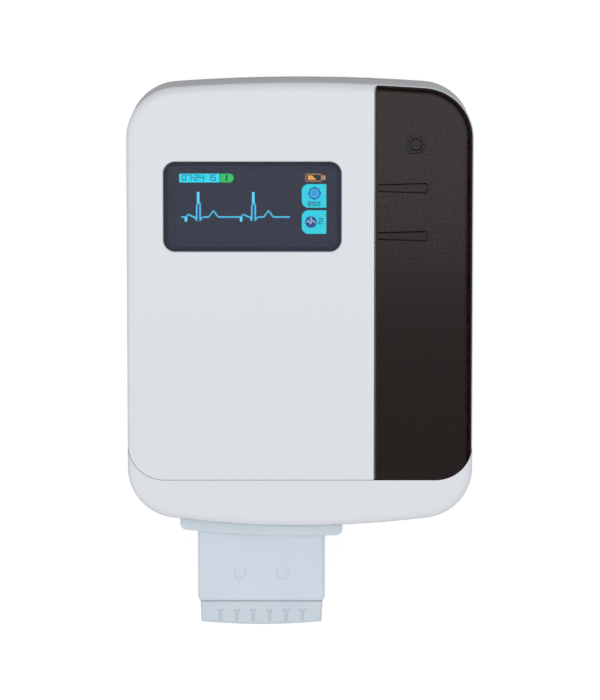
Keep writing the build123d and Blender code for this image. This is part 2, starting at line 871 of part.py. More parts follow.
# Door: a plate cut from the case's own surface, with a rail along each side and a ribbed thumb grip
grip_y = -half_height + grip_from_bottom
plate_reach = bay_half - door_side_gap
rail_span = rail_reach - door_side_gap
with BuildPart() as battery_door:
    with BuildSketch(facing_down(door_high - door_side_gap)):
        area(bay_x - plate_reach, bay_x + plate_reach, door_skin_inset, door_top)
        area(bay_x - rail_span, bay_x + rail_span, door_top - door_rail, door_top)
    extrude(amount=case_height)
    add(case_block.part, mode=Mode.INTERSECT)
    with BuildSketch():
        with Locations((bay_x, grip_y)):
            with GridLocations(0, grip_groove_pitch, 1, grip_groove_count):
                SlotOverall(grip_groove_length, grip_groove_width)
    extrude(amount=door_skin_inset + grip_groove_depth, mode=Mode.SUBTRACT)
finish(battery_door, "battery_door")

# Main board, drilled for the cover's bosses and the board screws
with BuildPart() as main_board:
    with BuildSketch(Plane.XY.offset(main_board_bottom)):
        add(case_outline(case_wall + board_case_gap))
        area(
            -half_width,
            half_width,
            main_board_low,
            half_height,
            mode=Mode.INTERSECT,
        )
        with Locations(*screw_places):
            Circle(boss_radius + fit_gap, mode=Mode.SUBTRACT)
        with Locations(*board_screw_places):
            Circle(board_screw_radius + seat_gap, mode=Mode.SUBTRACT)
    extrude(amount=board_thickness)
finish(main_board, "main_board")

board_screw_end = front_inner - board_screw_end_gap
with BuildPart() as board_screws:
    with BuildSketch(Plane.XY.offset(main_board_bottom - board_screw_head_height)):
        with Locations(*board_screw_places):
            Circle(board_screw_head_radius)
    extrude(amount=board_screw_head_height)
    with BuildSketch(Plane.XY.offset(main_board_bottom)):
        with Locations(*board_screw_places):
            Circle(board_screw_radius)
    extrude(amount=board_screw_end - main_board_bottom)
finish(board_screws, "board_screws")

# Signal board above the rear wall, drilled for the screw posts
with BuildPart() as analog_board:
    with BuildSketch(Plane.XY.offset(analog_bottom)):
        add(case_outline(case_wall + analog_case_gap))
        area(-half_width, bay_left - board_case_gap, analog_low, analog_high, mode=Mode.INTERSECT)
        with Locations(*screw_places):
            Circle(post_radius + fit_gap, mode=Mode.SUBTRACT)
        with Locations(*analog_screw_places):
            Circle(board_screw_radius + seat_gap, mode=Mode.SUBTRACT)
    extrude(amount=board_thickness)
finish(analog_board, "analog_board")

with BuildPart() as analog_screws:
    with BuildSketch(Plane.XY.offset(analog_top)):
        with Locations(*analog_screw_places):
            Circle(board_screw_head_radius)
    extrude(amount=board_screw_head_height)
    with BuildSketch(Plane.XY.offset(case_wall)):
        with Locations(*analog_screw_places):
            Circle(board_screw_radius)
    extrude(amount=analog_top - case_wall)
finish(analog_screws, "analog_screws")

# Display: a glass panel on a foam pad, its flat cable and the connector it plugs into
panel_width = window_width - 2 * aperture_border + 2 * panel_border
panel_height = window_height - 2 * aperture_border + 2 * panel_border
with BuildPart() as display_pad:
    with BuildSketch(Plane.XY.offset(main_board_top)):
        with Locations((window_x, window_y)):
            Rectangle(panel_width - 2 * panel_border, panel_height - 2 * panel_border)
    extrude(amount=panel_pad)
finish(display_pad, "display_pad")

with BuildPart() as oled_panel:
    with BuildSketch(Plane.XY.offset(panel_bottom)):
        with Locations((window_x, window_y)):
            Rectangle(panel_width, panel_height)
    extrude(amount=panel_top - panel_bottom)
finish(oled_panel, "oled_panel")

panel_low = window_y - panel_height / 2
panel_middle = (panel_bottom + panel_top) / 2
connector_high = panel_low - flex_reach
flex_end = flex_end_share * flex_reach
with BuildPart() as display_flex:
    with BuildSketch(Plane.YZ.offset(window_x - flex_width / 2)):
        with BuildLine():
            Polyline(
                (panel_low, panel_middle),
                (panel_low - flex_end, panel_middle),
                (connector_high + flex_end, main_board_top + display_connector_height / 2),
                (connector_high, main_board_top + display_connector_height / 2),
            )
        trace(line_width=flex_thickness)
    extrude(amount=flex_width)
finish(display_flex, "display_flex")

with BuildPart() as display_connector:
    with BuildSketch(Plane.XY.offset(main_board_top)):
        with Locations((window_x, connector_high - display_connector_width / 2)):
            Rectangle(display_connector_length, display_connector_width)
    extrude(amount=display_connector_height)
    chamfer(display_connector.edges().group_by(Axis.Z)[-1], flex_thickness)
finish(display_connector, "display_connector")


def place(share):
    """A place on the boards, given as shares of the case's half width and half height."""
    return (share[0] * half_width, share[1] * half_height)


def board_row(share):
    """A row's line on the main board, as a share of the way from the display's connector to the edge."""
    connector_low = connector_high - display_connector_width
    return connector_low + (main_board_low - connector_low) * share


def chip(name, places, width, length, height, bottom=main_board_top):
    """One kind of chip: a low moulded block with an orientation dimple, once at each place."""
    corner = processor_height * chip_corner_share
    with BuildPart() as block:
        with BuildSketch(Plane.XY.offset(bottom)):
            with Locations(*places):
                Rectangle(width, length)
        extrude(amount=height)
        chamfer(block.edges().group_by(Axis.Z)[-1], corner)
        with BuildSketch(Plane.XY.offset(bottom + height - corner)):
            with Locations(
                *[(x - width * chip_dimple_share, y + length * chip_dimple_share) for x, y in places]
            ):
                Circle(corner)
        extrude(amount=corner + chip_gap, mode=Mode.SUBTRACT)
    finish(block, name)


processor_x = processor_share * half_width
memory_x = memory_share * half_width
memory_places = [(memory_x, board_row(share)) for share in memory_row_shares]
processor_places = [(processor_x, board_row(processor_row_share))]
crystal_places = [(processor_x, board_row(crystal_row_share))]
chip("processor_chip", processor_places, processor_size, processor_size, processor_height)
chip("memory_chips", memory_places, memory_width, memory_length, memory_height)
chip("motion_sensor", [place(sensor_share)], sensor_size, sensor_size, sensor_height)
chip("clock_crystal", crystal_places, crystal_length, crystal_width, crystal_height)

# A row of small capacitors below the processor
capacitor_x = capacitor_share * half_width
capacitor_y = board_row(capacitor_row_share)
with BuildPart() as chip_capacitors:
    with BuildSketch(Plane.XY.offset(main_board_top)):
        with Locations(
            *[(capacitor_x + index * capacitor_pitch, capacitor_y) for index in range(capacitor_count)]
        ):
            Rectangle(capacitor_length, capacitor_width)
    extrude(amount=capacitor_height)
finish(chip_capacitors, "chip_capacitors")

# Memory card in its metal socket, under the main board
card_x, card_y = place(card_share)
card_socket_width = card_width + 2 * card_gap + 2 * card_socket_wall
card_socket_length = card_length + card_gap + card_socket_wall
card_socket_height = card_thickness + 2 * card_gap + 2 * card_socket_floor
card_bottom = main_board_bottom - card_socket_floor - card_gap - card_thickness
with BuildPart() as card_socket:
    with BuildSketch(Plane.XY.offset(main_board_bottom - card_socket_height)):
        with Locations((card_x, card_y)):
            Rectangle(card_socket_width, card_socket_length)
    extrude(amount=card_socket_height)
    with BuildSketch(Plane.XY.offset(card_bottom - card_gap)):
        area(
            card_x - card_width / 2 - card_gap,
            card_x + card_width / 2 + card_gap,
            card_y - card_socket_length / 2 - cut_overrun,
            card_y + card_socket_length / 2 - card_socket_wall,
        )
    extrude(amount=card_thickness + 2 * card_gap, mode=Mode.SUBTRACT)
finish(card_socket, "card_socket")

with BuildPart() as memory_card:
    with BuildSketch(Plane.XY.offset(card_bottom)):
        with Locations((card_x, card_y - card_socket_length / 2 + card_length / 2)):
            Rectangle(card_width, card_length)
    extrude(amount=card_thickness)
    fillet(memory_card.edges().filter_by(Axis.Z), card_thickness)
finish(memory_card, "memory_card")

# Backup cell held up against the main board by a sprung clip
backup_x, backup_y = place(backup_share)
backup_low = main_board_bottom - backup_thickness
clip_low = backup_low - backup_clip_thickness
clip_side = backup_radius + fit_gap
with BuildPart() as backup_cell:
    with BuildSketch(Plane.XY.offset(backup_low)):
        with Locations((backup_x, backup_y)):
            Circle(backup_radius)
    extrude(amount=backup_thickness)
    chamfer(backup_cell.edges().group_by(Axis.Z)[0], backup_clip_thickness)
finish(backup_cell, "backup_cell")

with BuildPart() as backup_clip:
    with BuildSketch(Plane.XZ.offset(-backup_y - backup_clip_width / 2)):
        with BuildLine():
            Polyline(
                (backup_x - clip_side - backup_clip_foot, main_board_bottom - backup_clip_thickness / 2),
                (backup_x - clip_side, main_board_bottom - backup_clip_thickness / 2),
                (backup_x - clip_side, clip_low + backup_clip_thickness / 2),
                (backup_x + clip_side, clip_low + backup_clip_thickness / 2),
                (backup_x + clip_side, main_board_bottom - backup_clip_thickness / 2),
                (backup_x + clip_side + backup_clip_foot, main_board_bottom - backup_clip_thickness / 2),
            )
        trace(line_width=backup_clip_thickness)
    extrude(amount=backup_clip_width)
finish(backup_clip, "backup_clip")

buzzer_x, buzzer_y = place(buzzer_share)
with BuildPart() as buzzer:
    with BuildSketch(Plane.XY.offset(main_board_bottom - buzzer_height)):
        with Locations((buzzer_x, buzzer_y)):
            Circle(buzzer_radius)
    extrude(amount=buzzer_height)
    fillet(buzzer.edges().group_by(Axis.Z)[0], buzzer_hole_depth)
    with BuildSketch(Plane.XY.offset(main_board_bottom - buzzer_height)):
        with Locations((buzzer_x, buzzer_y)):
            Circle(buzzer_hole_radius)
    extrude(amount=buzzer_hole_depth, mode=Mode.SUBTRACT)
finish(buzzer, "buzzer")

# Screening can over the input amplifiers on the signal board
can_x = board_screw_left + board_screw_head_radius + can_screw_gap + can_width / 2
can_y = second_row_tail + can_socket_gap + can_length / 2
with BuildPart() as shield_can:
    with BuildSketch(Plane.XY.offset(analog_top)):
        with Locations((can_x, can_y)):
            RectangleRounded(can_width, can_length, can_corner)
    extrude(amount=can_height)
    with BuildSketch(Plane.XY.offset(analog_top)):
        with Locations((can_x, can_y)):
            RectangleRounded(can_width - 2 * can_sheet, can_length - 2 * can_sheet, can_corner - can_sheet)
    extrude(amount=can_height - can_sheet, mode=Mode.SUBTRACT)
finish(shield_can, "shield_can")

amplifier_places = [
    (can_x - amplifier_pitch / 2, can_y - amplifier_pitch / 2),
    (can_x + amplifier_pitch / 2, can_y - amplifier_pitch / 2),
    (can_x, can_y + amplifier_pitch / 2),
]
chip("analog_chips", amplifier_places, amplifier_size, amplifier_size, amplifier_height, analog_top)

# Stacking connector between the boards: two insulators and the pins that run through both
header_x, header_y = place(header_share)
header_middle = analog_top + header_base_height
with BuildPart() as header_pins:
    with BuildSketch(Plane.XY.offset(analog_top + header_pin_end_gap)):
        with Locations((header_x, header_y)):
            with GridLocations(
                header_pin_pitch, header_pin_pitch, header_pin_columns, header_pin_rows
            ):
                Rectangle(header_pin, header_pin)
    extrude(amount=main_board_bottom - analog_top - 2 * header_pin_end_gap)
finish(header_pins, "header_pins")

with BuildPart() as header_base:
    with BuildSketch(Plane.XY.offset(analog_top)):
        with Locations((header_x, header_y)):
            Rectangle(header_length, header_width)
    extrude(amount=header_base_height)
    add(header_pins.part, mode=Mode.SUBTRACT)
finish(header_base, "header_base")

with BuildPart() as header_top:
    with BuildSketch(Plane.XY.offset(header_middle)):
        with Locations((header_x, header_y)):
            Rectangle(header_length, header_width)
    extrude(amount=main_board_bottom - header_middle)
    add(header_pins.part, mode=Mode.SUBTRACT)
finish(header_top, "header_top")

# Switches under the keys: each has a well for its push pin
with BuildPart() as key_switches:
    with BuildSketch(Plane.XY.offset(main_board_top)):
        with Locations(*switch_places):
            Rectangle(switch_size, switch_size)
            Circle(plunger_radius + plunger_gap, mode=Mode.SUBTRACT)
    extrude(amount=switch_top - main_board_top)
finish(key_switches, "key_switches")


def plunger(name, centre):
    """A switch's push pin, which travels with the key above it."""
    with BuildPart() as pin:
        with BuildSketch(Plane.XY.offset(plunger_bottom)):
            with Locations(centre):
                Circle(plunger_radius)
        extrude(amount=key_flange_bottom - plunger_bottom)
    finish(pin, name)


def softkey(name, key_y):
    """A soft key: a bar that rises to the right, on a wider flange that the cover holds down."""
    plan = softkey_plan(key_y, 0)
    flange = softkey_plan(key_y, key_flange_overlap)
    with BuildPart() as key:
        with BuildSketch(Plane.XZ.offset(-key_y - softkey_right_width)):
            with BuildLine():
                Polyline(
                    (softkey_left - cut_overrun, key_flange_bottom),
                    (softkey_right + cut_overrun, key_flange_bottom),
                    (softkey_right + cut_overrun, case_depth + softkey_rise_right),
                    (softkey_left - cut_overrun, case_depth + softkey_rise_left),
                    close=True,
                )
            make_face()
        extrude(amount=2 * softkey_right_width)
        with BuildSketch(Plane.XY.offset(key_flange_bottom)):
            add(plan)
        extrude(amount=case_depth, mode=Mode.INTERSECT)
        fillet(key.edges().group_by(Axis.Z)[-1], softkey_corner / 2)
        with BuildSketch(Plane.XY.offset(key_flange_bottom)):
            add(flange)
        extrude(amount=key_flange_thickness)
    finish(key, name)


softkey("upper_softkey", upper_key_y)
softkey("lower_softkey", lower_key_y)
plunger("upper_plunger", (switch_x, upper_key_y))
plunger("lower_plunger", (switch_x, lower_key_y))
plunger("event_plunger", (event_x, event_y))

# Event key: a round tip on a skirt that fills the well's outline lower down
with BuildPart() as event_button:
    with BuildSketch(Plane.XY.offset(key_flange_bottom)):
        add(well_plan(-event_skirt_gap))
    extrude(amount=case_depth - event_well_depth - key_flange_bottom)
    with BuildSketch(Plane.XY.offset(key_flange_bottom)):
        with Locations((event_x, event_y)):
            Circle(event_radius)
    extrude(amount=case_depth + event_rise - key_flange_bottom)
    fillet(event_button.edges().group_by(Axis.Z)[-1], event_rise)
    with BuildSketch(Plane.XY.offset(key_flange_bottom)):
        add(well_plan(key_flange_overlap))
    extrude(amount=key_flange_thickness)
finish(event_button, "event_button")

# Lead socket: a moulded shell with a blade that carries both rows of contacts
blade_tip = nose_tip - slot_depth + slot_end_gap
contact_xs = [
    plug_x + (index - (contact_count - 1) / 2) * contact_pitch for index in range(contact_count)
]
with BuildPart() as socket_contacts:
    for side, tail in ((1, second_row_tail), (-1, first_row_tail)):
        strip = plug_z + side * (tongue_blade + contact_strip_thickness) / 2
        for x in contact_xs:
            with BuildSketch(Plane.YZ.offset(x - contact_strip_width / 2)):
                with BuildLine():
                    Polyline(
                        (blade_tip + tongue_blade / 2, strip),
                        (tail, strip),
                        (tail, analog_top),
                    )
                trace(line_width=contact_strip_thickness)
            extrude(amount=contact_strip_width)
finish(socket_contacts, "socket_contacts")

with BuildPart() as lead_socket:
    with BuildSketch(facing_down(socket_back)):
        with Locations((plug_x, plug_z)):
            Rectangle(2 * socket_half_width, 2 * socket_half_height)
    extrude(amount=socket_back - socket_front)
    with BuildSketch(facing_down(socket_cavity_back)):
        with Locations((plug_x, plug_z)):
            RectangleRounded(2 * socket_cavity_half_width, 2 * socket_cavity_half_height, nose_edge)
    extrude(amount=socket_cavity_back - socket_front, mode=Mode.SUBTRACT)
    with BuildSketch(facing_down(socket_cavity_back)):
        with Locations((plug_x, plug_z)):
            Rectangle(tongue_blade_width, tongue_blade)
    extrude(amount=socket_cavity_back - blade_tip)
    add(socket_contacts.part, mode=Mode.SUBTRACT)
finish(lead_socket, "lead_socket")

with BuildPart() as socket_gasket:
    with BuildSketch(facing_down(socket_front)):
        with Locations((plug_x, plug_z)):
            RectangleRounded(
                2 * gasket_half,
                opening_height + 2 * gasket_border,
                nose_edge + gasket_border,
            )
            RectangleRounded(opening_width, opening_height, nose_edge, mode=Mode.SUBTRACT)
    extrude(amount=gasket_thickness)
finish(socket_gasket, "socket_gasket")

# Plug nose: the block that enters the socket, with a slot that closes over the blade
nose_back = -half_height - nose_tail
collar_high = cavity_back - seat_gap
with BuildPart() as plug_nose:
    with BuildSketch(facing_down(nose_tip)):
        with Locations((plug_x, plug_z)):
            RectangleRounded(nose_width, nose_height, nose_edge)
    extrude(amount=nose_tip - nose_back)
    with BuildSketch(facing_down(collar_high)):
        with Locations((plug_x, plug_z)):
            Rectangle(nose_width + 2 * nose_collar, nose_height + 2 * nose_collar)
    extrude(amount=nose_collar_length)
    with BuildSketch(facing_down(nose_tip)):
        with Locations((plug_x, plug_z)):
            Rectangle(slot_width, slot_height)
    extrude(amount=slot_depth, mode=Mode.SUBTRACT)
    groove_high = -half_height + seal_from_case + seal_groove_width
    with BuildSketch(facing_down(groove_high)):
        with Locations((plug_x, plug_z)):
            Rectangle(nose_width + cut_overrun, nose_height + cut_overrun)
            RectangleRounded(
                nose_width - 2 * seal_groove_depth,
                nose_height - 2 * seal_groove_depth,
                nose_edge - seal_groove_depth,
                mode=Mode.SUBTRACT,
            )
    extrude(amount=seal_groove_width, mode=Mode.SUBTRACT)
finish(plug_nose, "plug_nose")

with BuildPart() as plug_seal:
    with BuildSketch(facing_down(groove_high)):
        with Locations((plug_x, plug_z)):
            RectangleRounded(nose_width + 2 * seal_proud, nose_height + 2 * seal_proud, nose_edge)
            RectangleRounded(
                nose_width - 2 * seal_groove_depth,
                nose_height - 2 * seal_groove_depth,
                nose_edge - seal_groove_depth,
                mode=Mode.SUBTRACT,
            )
    extrude(amount=seal_groove_width)
finish(plug_seal, "plug_seal")

with BuildPart() as plug_contacts:
    for side in (1, -1):
        wall = plug_z + side * (slot_height - plug_contact_thickness) / 2
        with BuildSketch(facing_down(nose_tip - tongue_blade / 2)):
            with Locations(*[(x, wall) for x in contact_xs]):
                Rectangle(contact_strip_width, plug_contact_thickness)
        extrude(amount=slot_depth - tongue_blade / 2)
finish(plug_contacts, "plug_contacts")

# Flange: a plate between two arcs that follow the bottom crown
flange_left = plug_x - flange_width / 2
flange_right = plug_x + flange_width / 2
with BuildPart() as plug_flange:
    with BuildSketch(Plane.XY.offset(plug_z - flange_height / 2)) as flange_face:
        with BuildLine():
            ThreePointArc(
                (flange_left, lower_crown(flange_left, flange_face_radius)),
                (plug_x, lower_crown(plug_x, flange_face_radius)),
                (flange_right, lower_crown(flange_right, flange_face_radius)),
            )
            Line(
                (flange_right, lower_crown(flange_right, flange_face_radius)),
                (flange_right, lower_crown(flange_right, flange_back_radius)),
            )
            ThreePointArc(
                (flange_right, lower_crown(flange_right, flange_back_radius)),
                (plug_x, lower_crown(plug_x, flange_back_radius)),
                (flange_left, lower_crown(flange_left, flange_back_radius)),
            )
            Line(
                (flange_left, lower_crown(flange_left, flange_back_radius)),
                (flange_left, lower_crown(flange_left, flange_face_radius)),
            )
        make_face()
        fillet(flange_face.vertices().sort_by(Axis.Y)[:2], flange_corner)
    extrude(amount=flange_height)
    fillet(plug_flange.edges().group_by(Axis.Z)[-1], flange_edge)
    fillet(plug_flange.edges().group_by(Axis.Z)[0], flange_edge)
    with BuildSketch(facing_down(-half_height + cut_overrun)):
        with Locations((plug_x, plug_z)):
            RectangleRounded(nose_width + 2 * seat_gap, nose_height + 2 * seat_gap, nose_edge)
    extrude(amount=flange_thickness + 3 * cut_overrun, mode=Mode.SUBTRACT)
finish(plug_flange, "plug_flange")

# Plug body as one block, from which the two shells are cut
plug_left = plug_x - plug_body_width / 2
plug_right = plug_x + plug_body_width / 2
with BuildPart() as plug_block:
    with BuildSketch(Plane.XY.offset(plug_z - plug_body_height / 2)) as plug_face:
        with BuildLine():
            ThreePointArc(
                (plug_left, lower_crown(plug_left, shell_face_radius)),
                (plug_x, lower_crown(plug_x, shell_face_radius)),
                (plug_right, lower_crown(plug_right, shell_face_radius)),
            )
            Polyline(
                (plug_right, lower_crown(plug_right, shell_face_radius)),
                (plug_right, shell_low),
                (plug_left, shell_low),
                (plug_left, lower_crown(plug_left, shell_face_radius)),
            )
        make_face()
        fillet(plug_face.vertices().sort_by(Axis.Y)[:2], plug_body_corner)
    extrude(amount=plug_body_height)
    fillet(plug_block.edges().group_by(Axis.Z)[-1].sort_by(Axis.Y)[:-1], plug_body_edge)
    fillet(plug_block.edges().group_by(Axis.Z)[0].sort_by(Axis.Y)[:-1], plug_body_edge)

plug_screw_y = -half_height - plug_screw_reach
plug_screw_places = [
    (plug_x - plug_screw_spread / 2, plug_screw_y),
    (plug_x + plug_screw_spread / 2, plug_screw_y),
]
plug_head_bottom = plug_z - plug_body_height / 2 + plug_screw_head_inset
plug_head_top = plug_head_bottom + plug_screw_head_height
plug_screw_end = plug_z + plug_inner_height / 2 - plug_screw_end_gap


def plug_shell(name, side):
    """Half of the plug's body: side is 1 for the front half and -1 for the rear one."""
    parting = plug_z + side * plug_parting / 2
    outer_face = plug_z + side * plug_body_height / 2
    inner_face = plug_z + side * plug_inner_height / 2
    with BuildPart() as shell:
        add(plug_block.part)
        with BuildSketch(Plane.XY.offset(parting)):
            area(plug_left - cut_overrun, plug_right + cut_overrun, shell_low - cut_overrun, -half_height)
        extrude(amount=side * plug_body_height, mode=Mode.INTERSECT)
        with BuildSketch(Plane.XY.offset(plug_z)):
            area(plug_x - plug_inner_width / 2, plug_x + plug_inner_width / 2, cavity_low, cavity_back)
        extrude(amount=side * plug_inner_height / 2, mode=Mode.SUBTRACT)
        with BuildSketch(Plane.XY.offset(parting)):
            with Locations(*plug_screw_places):
                Circle(plug_boss_radius)
        extrude(amount=inner_face - parting)
        # Windows for the nose and for the boot's neck
        with BuildSketch(facing_down(cavity_back + flange_thickness + cut_overrun)):
            with Locations((plug_x, plug_z)):
                RectangleRounded(nose_width + 2 * seat_gap, nose_height + 2 * seat_gap, nose_edge)
        extrude(amount=flange_thickness + 2 * cut_overrun, mode=Mode.SUBTRACT)
        with BuildSketch(facing_down(cavity_low + cut_overrun)):
            with Locations((plug_x, plug_z)):
                Rectangle(boot_neck_width + 2 * seat_gap, boot_neck_height + 2 * seat_gap)
        extrude(amount=plug_end_wall + 2 * cut_overrun, mode=Mode.SUBTRACT)
        if side > 0:
            # Shallow sink marks over the screw bosses
            with BuildSketch(Plane.XY.offset(outer_face - dimple_depth)):
                with Locations(*plug_screw_places):
                    Circle(dimple_radius)
            extrude(amount=dimple_depth + cut_overrun, mode=Mode.SUBTRACT)
            with BuildSketch(Plane.XY.offset(parting)):
                with Locations(*plug_screw_places):
                    Circle(plug_screw_radius)
            extrude(amount=plug_screw_end - parting, mode=Mode.SUBTRACT)
        else:
            with BuildSketch(Plane.XY.offset(outer_face)):
                with Locations(*plug_screw_places):
                    Circle(plug_screw_radius + seat_gap)
            extrude(amount=plug_body_height, mode=Mode.SUBTRACT)
            with BuildSketch(Plane.XY.offset(outer_face)):
                with Locations(*plug_screw_places):
                    Circle(plug_screw_head_radius + fit_gap)
            extrude(amount=plug_screw_head_inset + plug_screw_head_height, mode=Mode.SUBTRACT)
    finish(shell, name)


plug_shell("plug_front_shell", 1)
plug_shell("plug_rear_shell", -1)

with BuildPart() as plug_screws:
    with BuildSketch(Plane.XY.offset(plug_head_bottom)):
        with Locations(*plug_screw_places):
            Circle(plug_screw_head_radius)
    extrude(amount=plug_screw_head_height)
    with BuildSketch(Plane.XY.offset(plug_head_top)):
        with Locations(*plug_screw_places):
            Circle(plug_screw_radius)
    extrude(amount=plug_screw_end - plug_head_top)
    with BuildSketch(Plane.XY.offset(plug_head_bottom)):
        with Locations(*plug_screw_places):
            RegularPolygon(plug_screw_radius, 6)
    extrude(amount=plug_screw_head_height / 2, mode=Mode.SUBTRACT)
finish(plug_screws, "plug_screws")

# Boot: a soft block round the leads, with a bore for each and valleys between them on both faces
lead_xs = [plug_x + (index - (lead_count - 1) / 2) * lead_pitch for index in range(lead_count)]
valley_xs = [x + lead_pitch / 2 for x in lead_xs[:-1]]
boot_top = shell_low - seat_gap
anchor_low = cavity_low + seat_gap
anchor_high = anchor_low + boot_anchor_length
mouth_y = boot_top - valley_start
neck_y = mouth_y - valley_neck
boot_half = boot_width / 2
boot_end_half = boot_half - boot_taper
with BuildPart() as plug_boot:
    with BuildSketch(Plane.XY.offset(plug_z - boot_height / 2)) as boot_face:
        with BuildLine():
            Polyline(
                (plug_x - boot_end_half, boot_low + boot_crown),
                (plug_x - boot_half, boot_top),
                (plug_x + boot_half, boot_top),
                (plug_x + boot_end_half, boot_low + boot_crown),
            )
            ThreePointArc(
                (plug_x + boot_end_half, boot_low + boot_crown),
                (plug_x, boot_low),
                (plug_x - boot_end_half, boot_low + boot_crown),
            )
        make_face()
    extrude(amount=boot_height)
    fillet(plug_boot.edges().filter_by(Axis.Z, reverse=True).filter_by(Axis.X, reverse=True), boot_edge)
    for side in (1, -1):
        face = plug_z + side * boot_height / 2
        with BuildSketch(Plane.XY.offset(face - side * valley_depth)):
            for x in valley_xs:
                with BuildLine():
                    Polyline(
                        (x - valley_mouth_width / 2, mouth_y),
                        (x + valley_mouth_width / 2, mouth_y),
                        (x + valley_width / 2, neck_y),
                        (x + valley_width / 2, boot_low - cut_overrun),
                        (x - valley_width / 2, boot_low - cut_overrun),
                        (x - valley_width / 2, neck_y),
                        close=True,
                    )
                make_face()
        extrude(amount=side * (valley_depth + cut_overrun), mode=Mode.SUBTRACT)
    with BuildSketch(facing_down(anchor_low)):
        with Locations((plug_x, plug_z)):
            Rectangle(boot_neck_width, boot_neck_height)
    extrude(amount=anchor_low - boot_top)
    with BuildSketch(facing_down(anchor_high)):
        with Locations((plug_x, plug_z)):
            Rectangle(boot_anchor_width, boot_anchor_height)
    extrude(amount=boot_anchor_length)
    with BuildSketch(facing_down(anchor_high + cut_overrun)):
        with Locations(*[(x, plug_z) for x in lead_xs]):
            Circle(lead_bore_radius)
    extrude(amount=anchor_high - boot_low + 2 * cut_overrun, mode=Mode.SUBTRACT)
finish(plug_boot, "plug_boot")

# Comb behind the boot that grips the leads, open towards the front
clamp_low = anchor_high + seat_gap
clamp_high = clamp_low + clamp_length
with BuildPart() as lead_clamp:
    with BuildSketch(facing_down(clamp_high)):
        with Locations((plug_x, plug_z)):
            Rectangle(boot_neck_width, boot_neck_height)
        for x in lead_xs:
            area(
                x - lead_bore_radius,
                x + lead_bore_radius,
                plug_z - lead_bore_radius,
                plug_z + boot_neck_height,
                mode=Mode.SUBTRACT,
            )
    extrude(amount=clamp_length)
finish(lead_clamp, "lead_clamp")

# Small board that joins the leads to the nose's contacts
with BuildPart() as plug_board:
    with BuildSketch(Plane.XY.offset(plug_z - board_thickness / 2)):
        area(
            plug_x - plug_board_width / 2,
            plug_x + plug_board_width / 2,
            clamp_high + fit_gap,
            nose_back - fit_gap,
        )
        with Locations(*plug_screw_places):
            Circle(plug_boss_radius + fit_gap, mode=Mode.SUBTRACT)
    extrude(amount=board_thickness)
finish(plug_board, "plug_board")
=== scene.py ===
# %% [markdown]
# # A pocket heart recorder, from CAD to picture
# The shapes come from CAD: a white case with a dark strip down one side, a small colour display and a plug for
# seven leads. They are loaded as a fixed frame, in metres, and each node keeps its place. What is left to do here
# is what CAD can't say: what each piece is made of, what the display shows, and how a studio would light it.

# %% Load the frame and measure it
import json
from math import cos, radians, sin

import bmesh
import bpy
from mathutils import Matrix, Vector


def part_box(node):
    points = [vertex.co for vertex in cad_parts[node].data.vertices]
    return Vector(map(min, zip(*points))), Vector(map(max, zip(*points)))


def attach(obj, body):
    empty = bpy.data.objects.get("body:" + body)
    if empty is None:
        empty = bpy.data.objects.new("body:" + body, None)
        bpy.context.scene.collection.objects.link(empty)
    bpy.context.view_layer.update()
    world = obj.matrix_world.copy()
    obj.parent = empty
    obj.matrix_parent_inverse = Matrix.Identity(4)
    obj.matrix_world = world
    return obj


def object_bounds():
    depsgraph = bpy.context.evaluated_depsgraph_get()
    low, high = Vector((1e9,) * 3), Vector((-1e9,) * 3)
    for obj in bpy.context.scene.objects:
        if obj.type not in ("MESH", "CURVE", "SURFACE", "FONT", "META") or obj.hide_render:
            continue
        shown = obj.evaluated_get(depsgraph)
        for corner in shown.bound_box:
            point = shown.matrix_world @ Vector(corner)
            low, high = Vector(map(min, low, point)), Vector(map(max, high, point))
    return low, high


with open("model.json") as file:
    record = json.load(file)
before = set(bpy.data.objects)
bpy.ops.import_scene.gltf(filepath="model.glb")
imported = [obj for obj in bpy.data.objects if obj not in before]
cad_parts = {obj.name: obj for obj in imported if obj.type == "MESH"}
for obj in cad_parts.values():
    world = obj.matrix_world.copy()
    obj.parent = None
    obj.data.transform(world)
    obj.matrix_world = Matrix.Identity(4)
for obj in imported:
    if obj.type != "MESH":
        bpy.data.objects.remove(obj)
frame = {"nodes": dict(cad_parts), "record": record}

MM = 0.001
cad_low, cad_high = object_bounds()
print("case and plug:", [round(side / MM, 2) for side in cad_high - cad_low], "mm")

# %% [markdown]
# ## Colour and nodes
# A designer picks colours as hex codes, which are sRGB, while light adds up in linear values. One function turns
# the first into the second. Every material below is a small tree of nodes. A few more functions start a tree, add
# a node and wire it, so that each material reads as a list of what it is made of.


# %% Helpers that every material uses
def linear(code):
    """Linear RGBA of an sRGB hex colour, by the curve of the sRGB standard."""
    parts = [int(code[at : at + 2], 16) / 255 for at in (1, 3, 5)]
    return [c / 12.92 if c <= 0.04045 else ((c + 0.055) / 1.055) ** 2.4 for c in parts] + [1.0]


def blank(kind, name):
    """A new material or world, and its empty tree of nodes."""
    made = kind.new(name)
    made.use_nodes = True
    made.node_tree.nodes.clear()
    return made, made.node_tree


def add(tree, kind, inputs=None, **settings):
    """Adds a node with its settings. An input is a value, or an output of another node that is wired to it."""
    node = tree.nodes.new(kind)
    for name, value in settings.items():
        setattr(node, name, value)
    for name, value in (inputs or {}).items():
        if isinstance(value, bpy.types.NodeSocket):
            tree.links.new(value, node.inputs[name])
        else:
            node.inputs[name].default_value = value
    return node


def ramp(tree, value, source, target, **settings):
    """Carries a value from the source range to the target range, and holds it at the ends."""
    inputs = {
        "Value": value, "From Min": source[0], "From Max": source[1], "To Min": target[0], "To Max": target[1],
    }
    return add(tree, "ShaderNodeMapRange", inputs, **settings).outputs["Result"]


def blend(tree, factor, first, second):
    """A colour between two others."""
    inputs = {"Factor": factor, "A": first, "B": second}
    return add(tree, "ShaderNodeMix", inputs, data_type="RGBA").outputs["Result"]


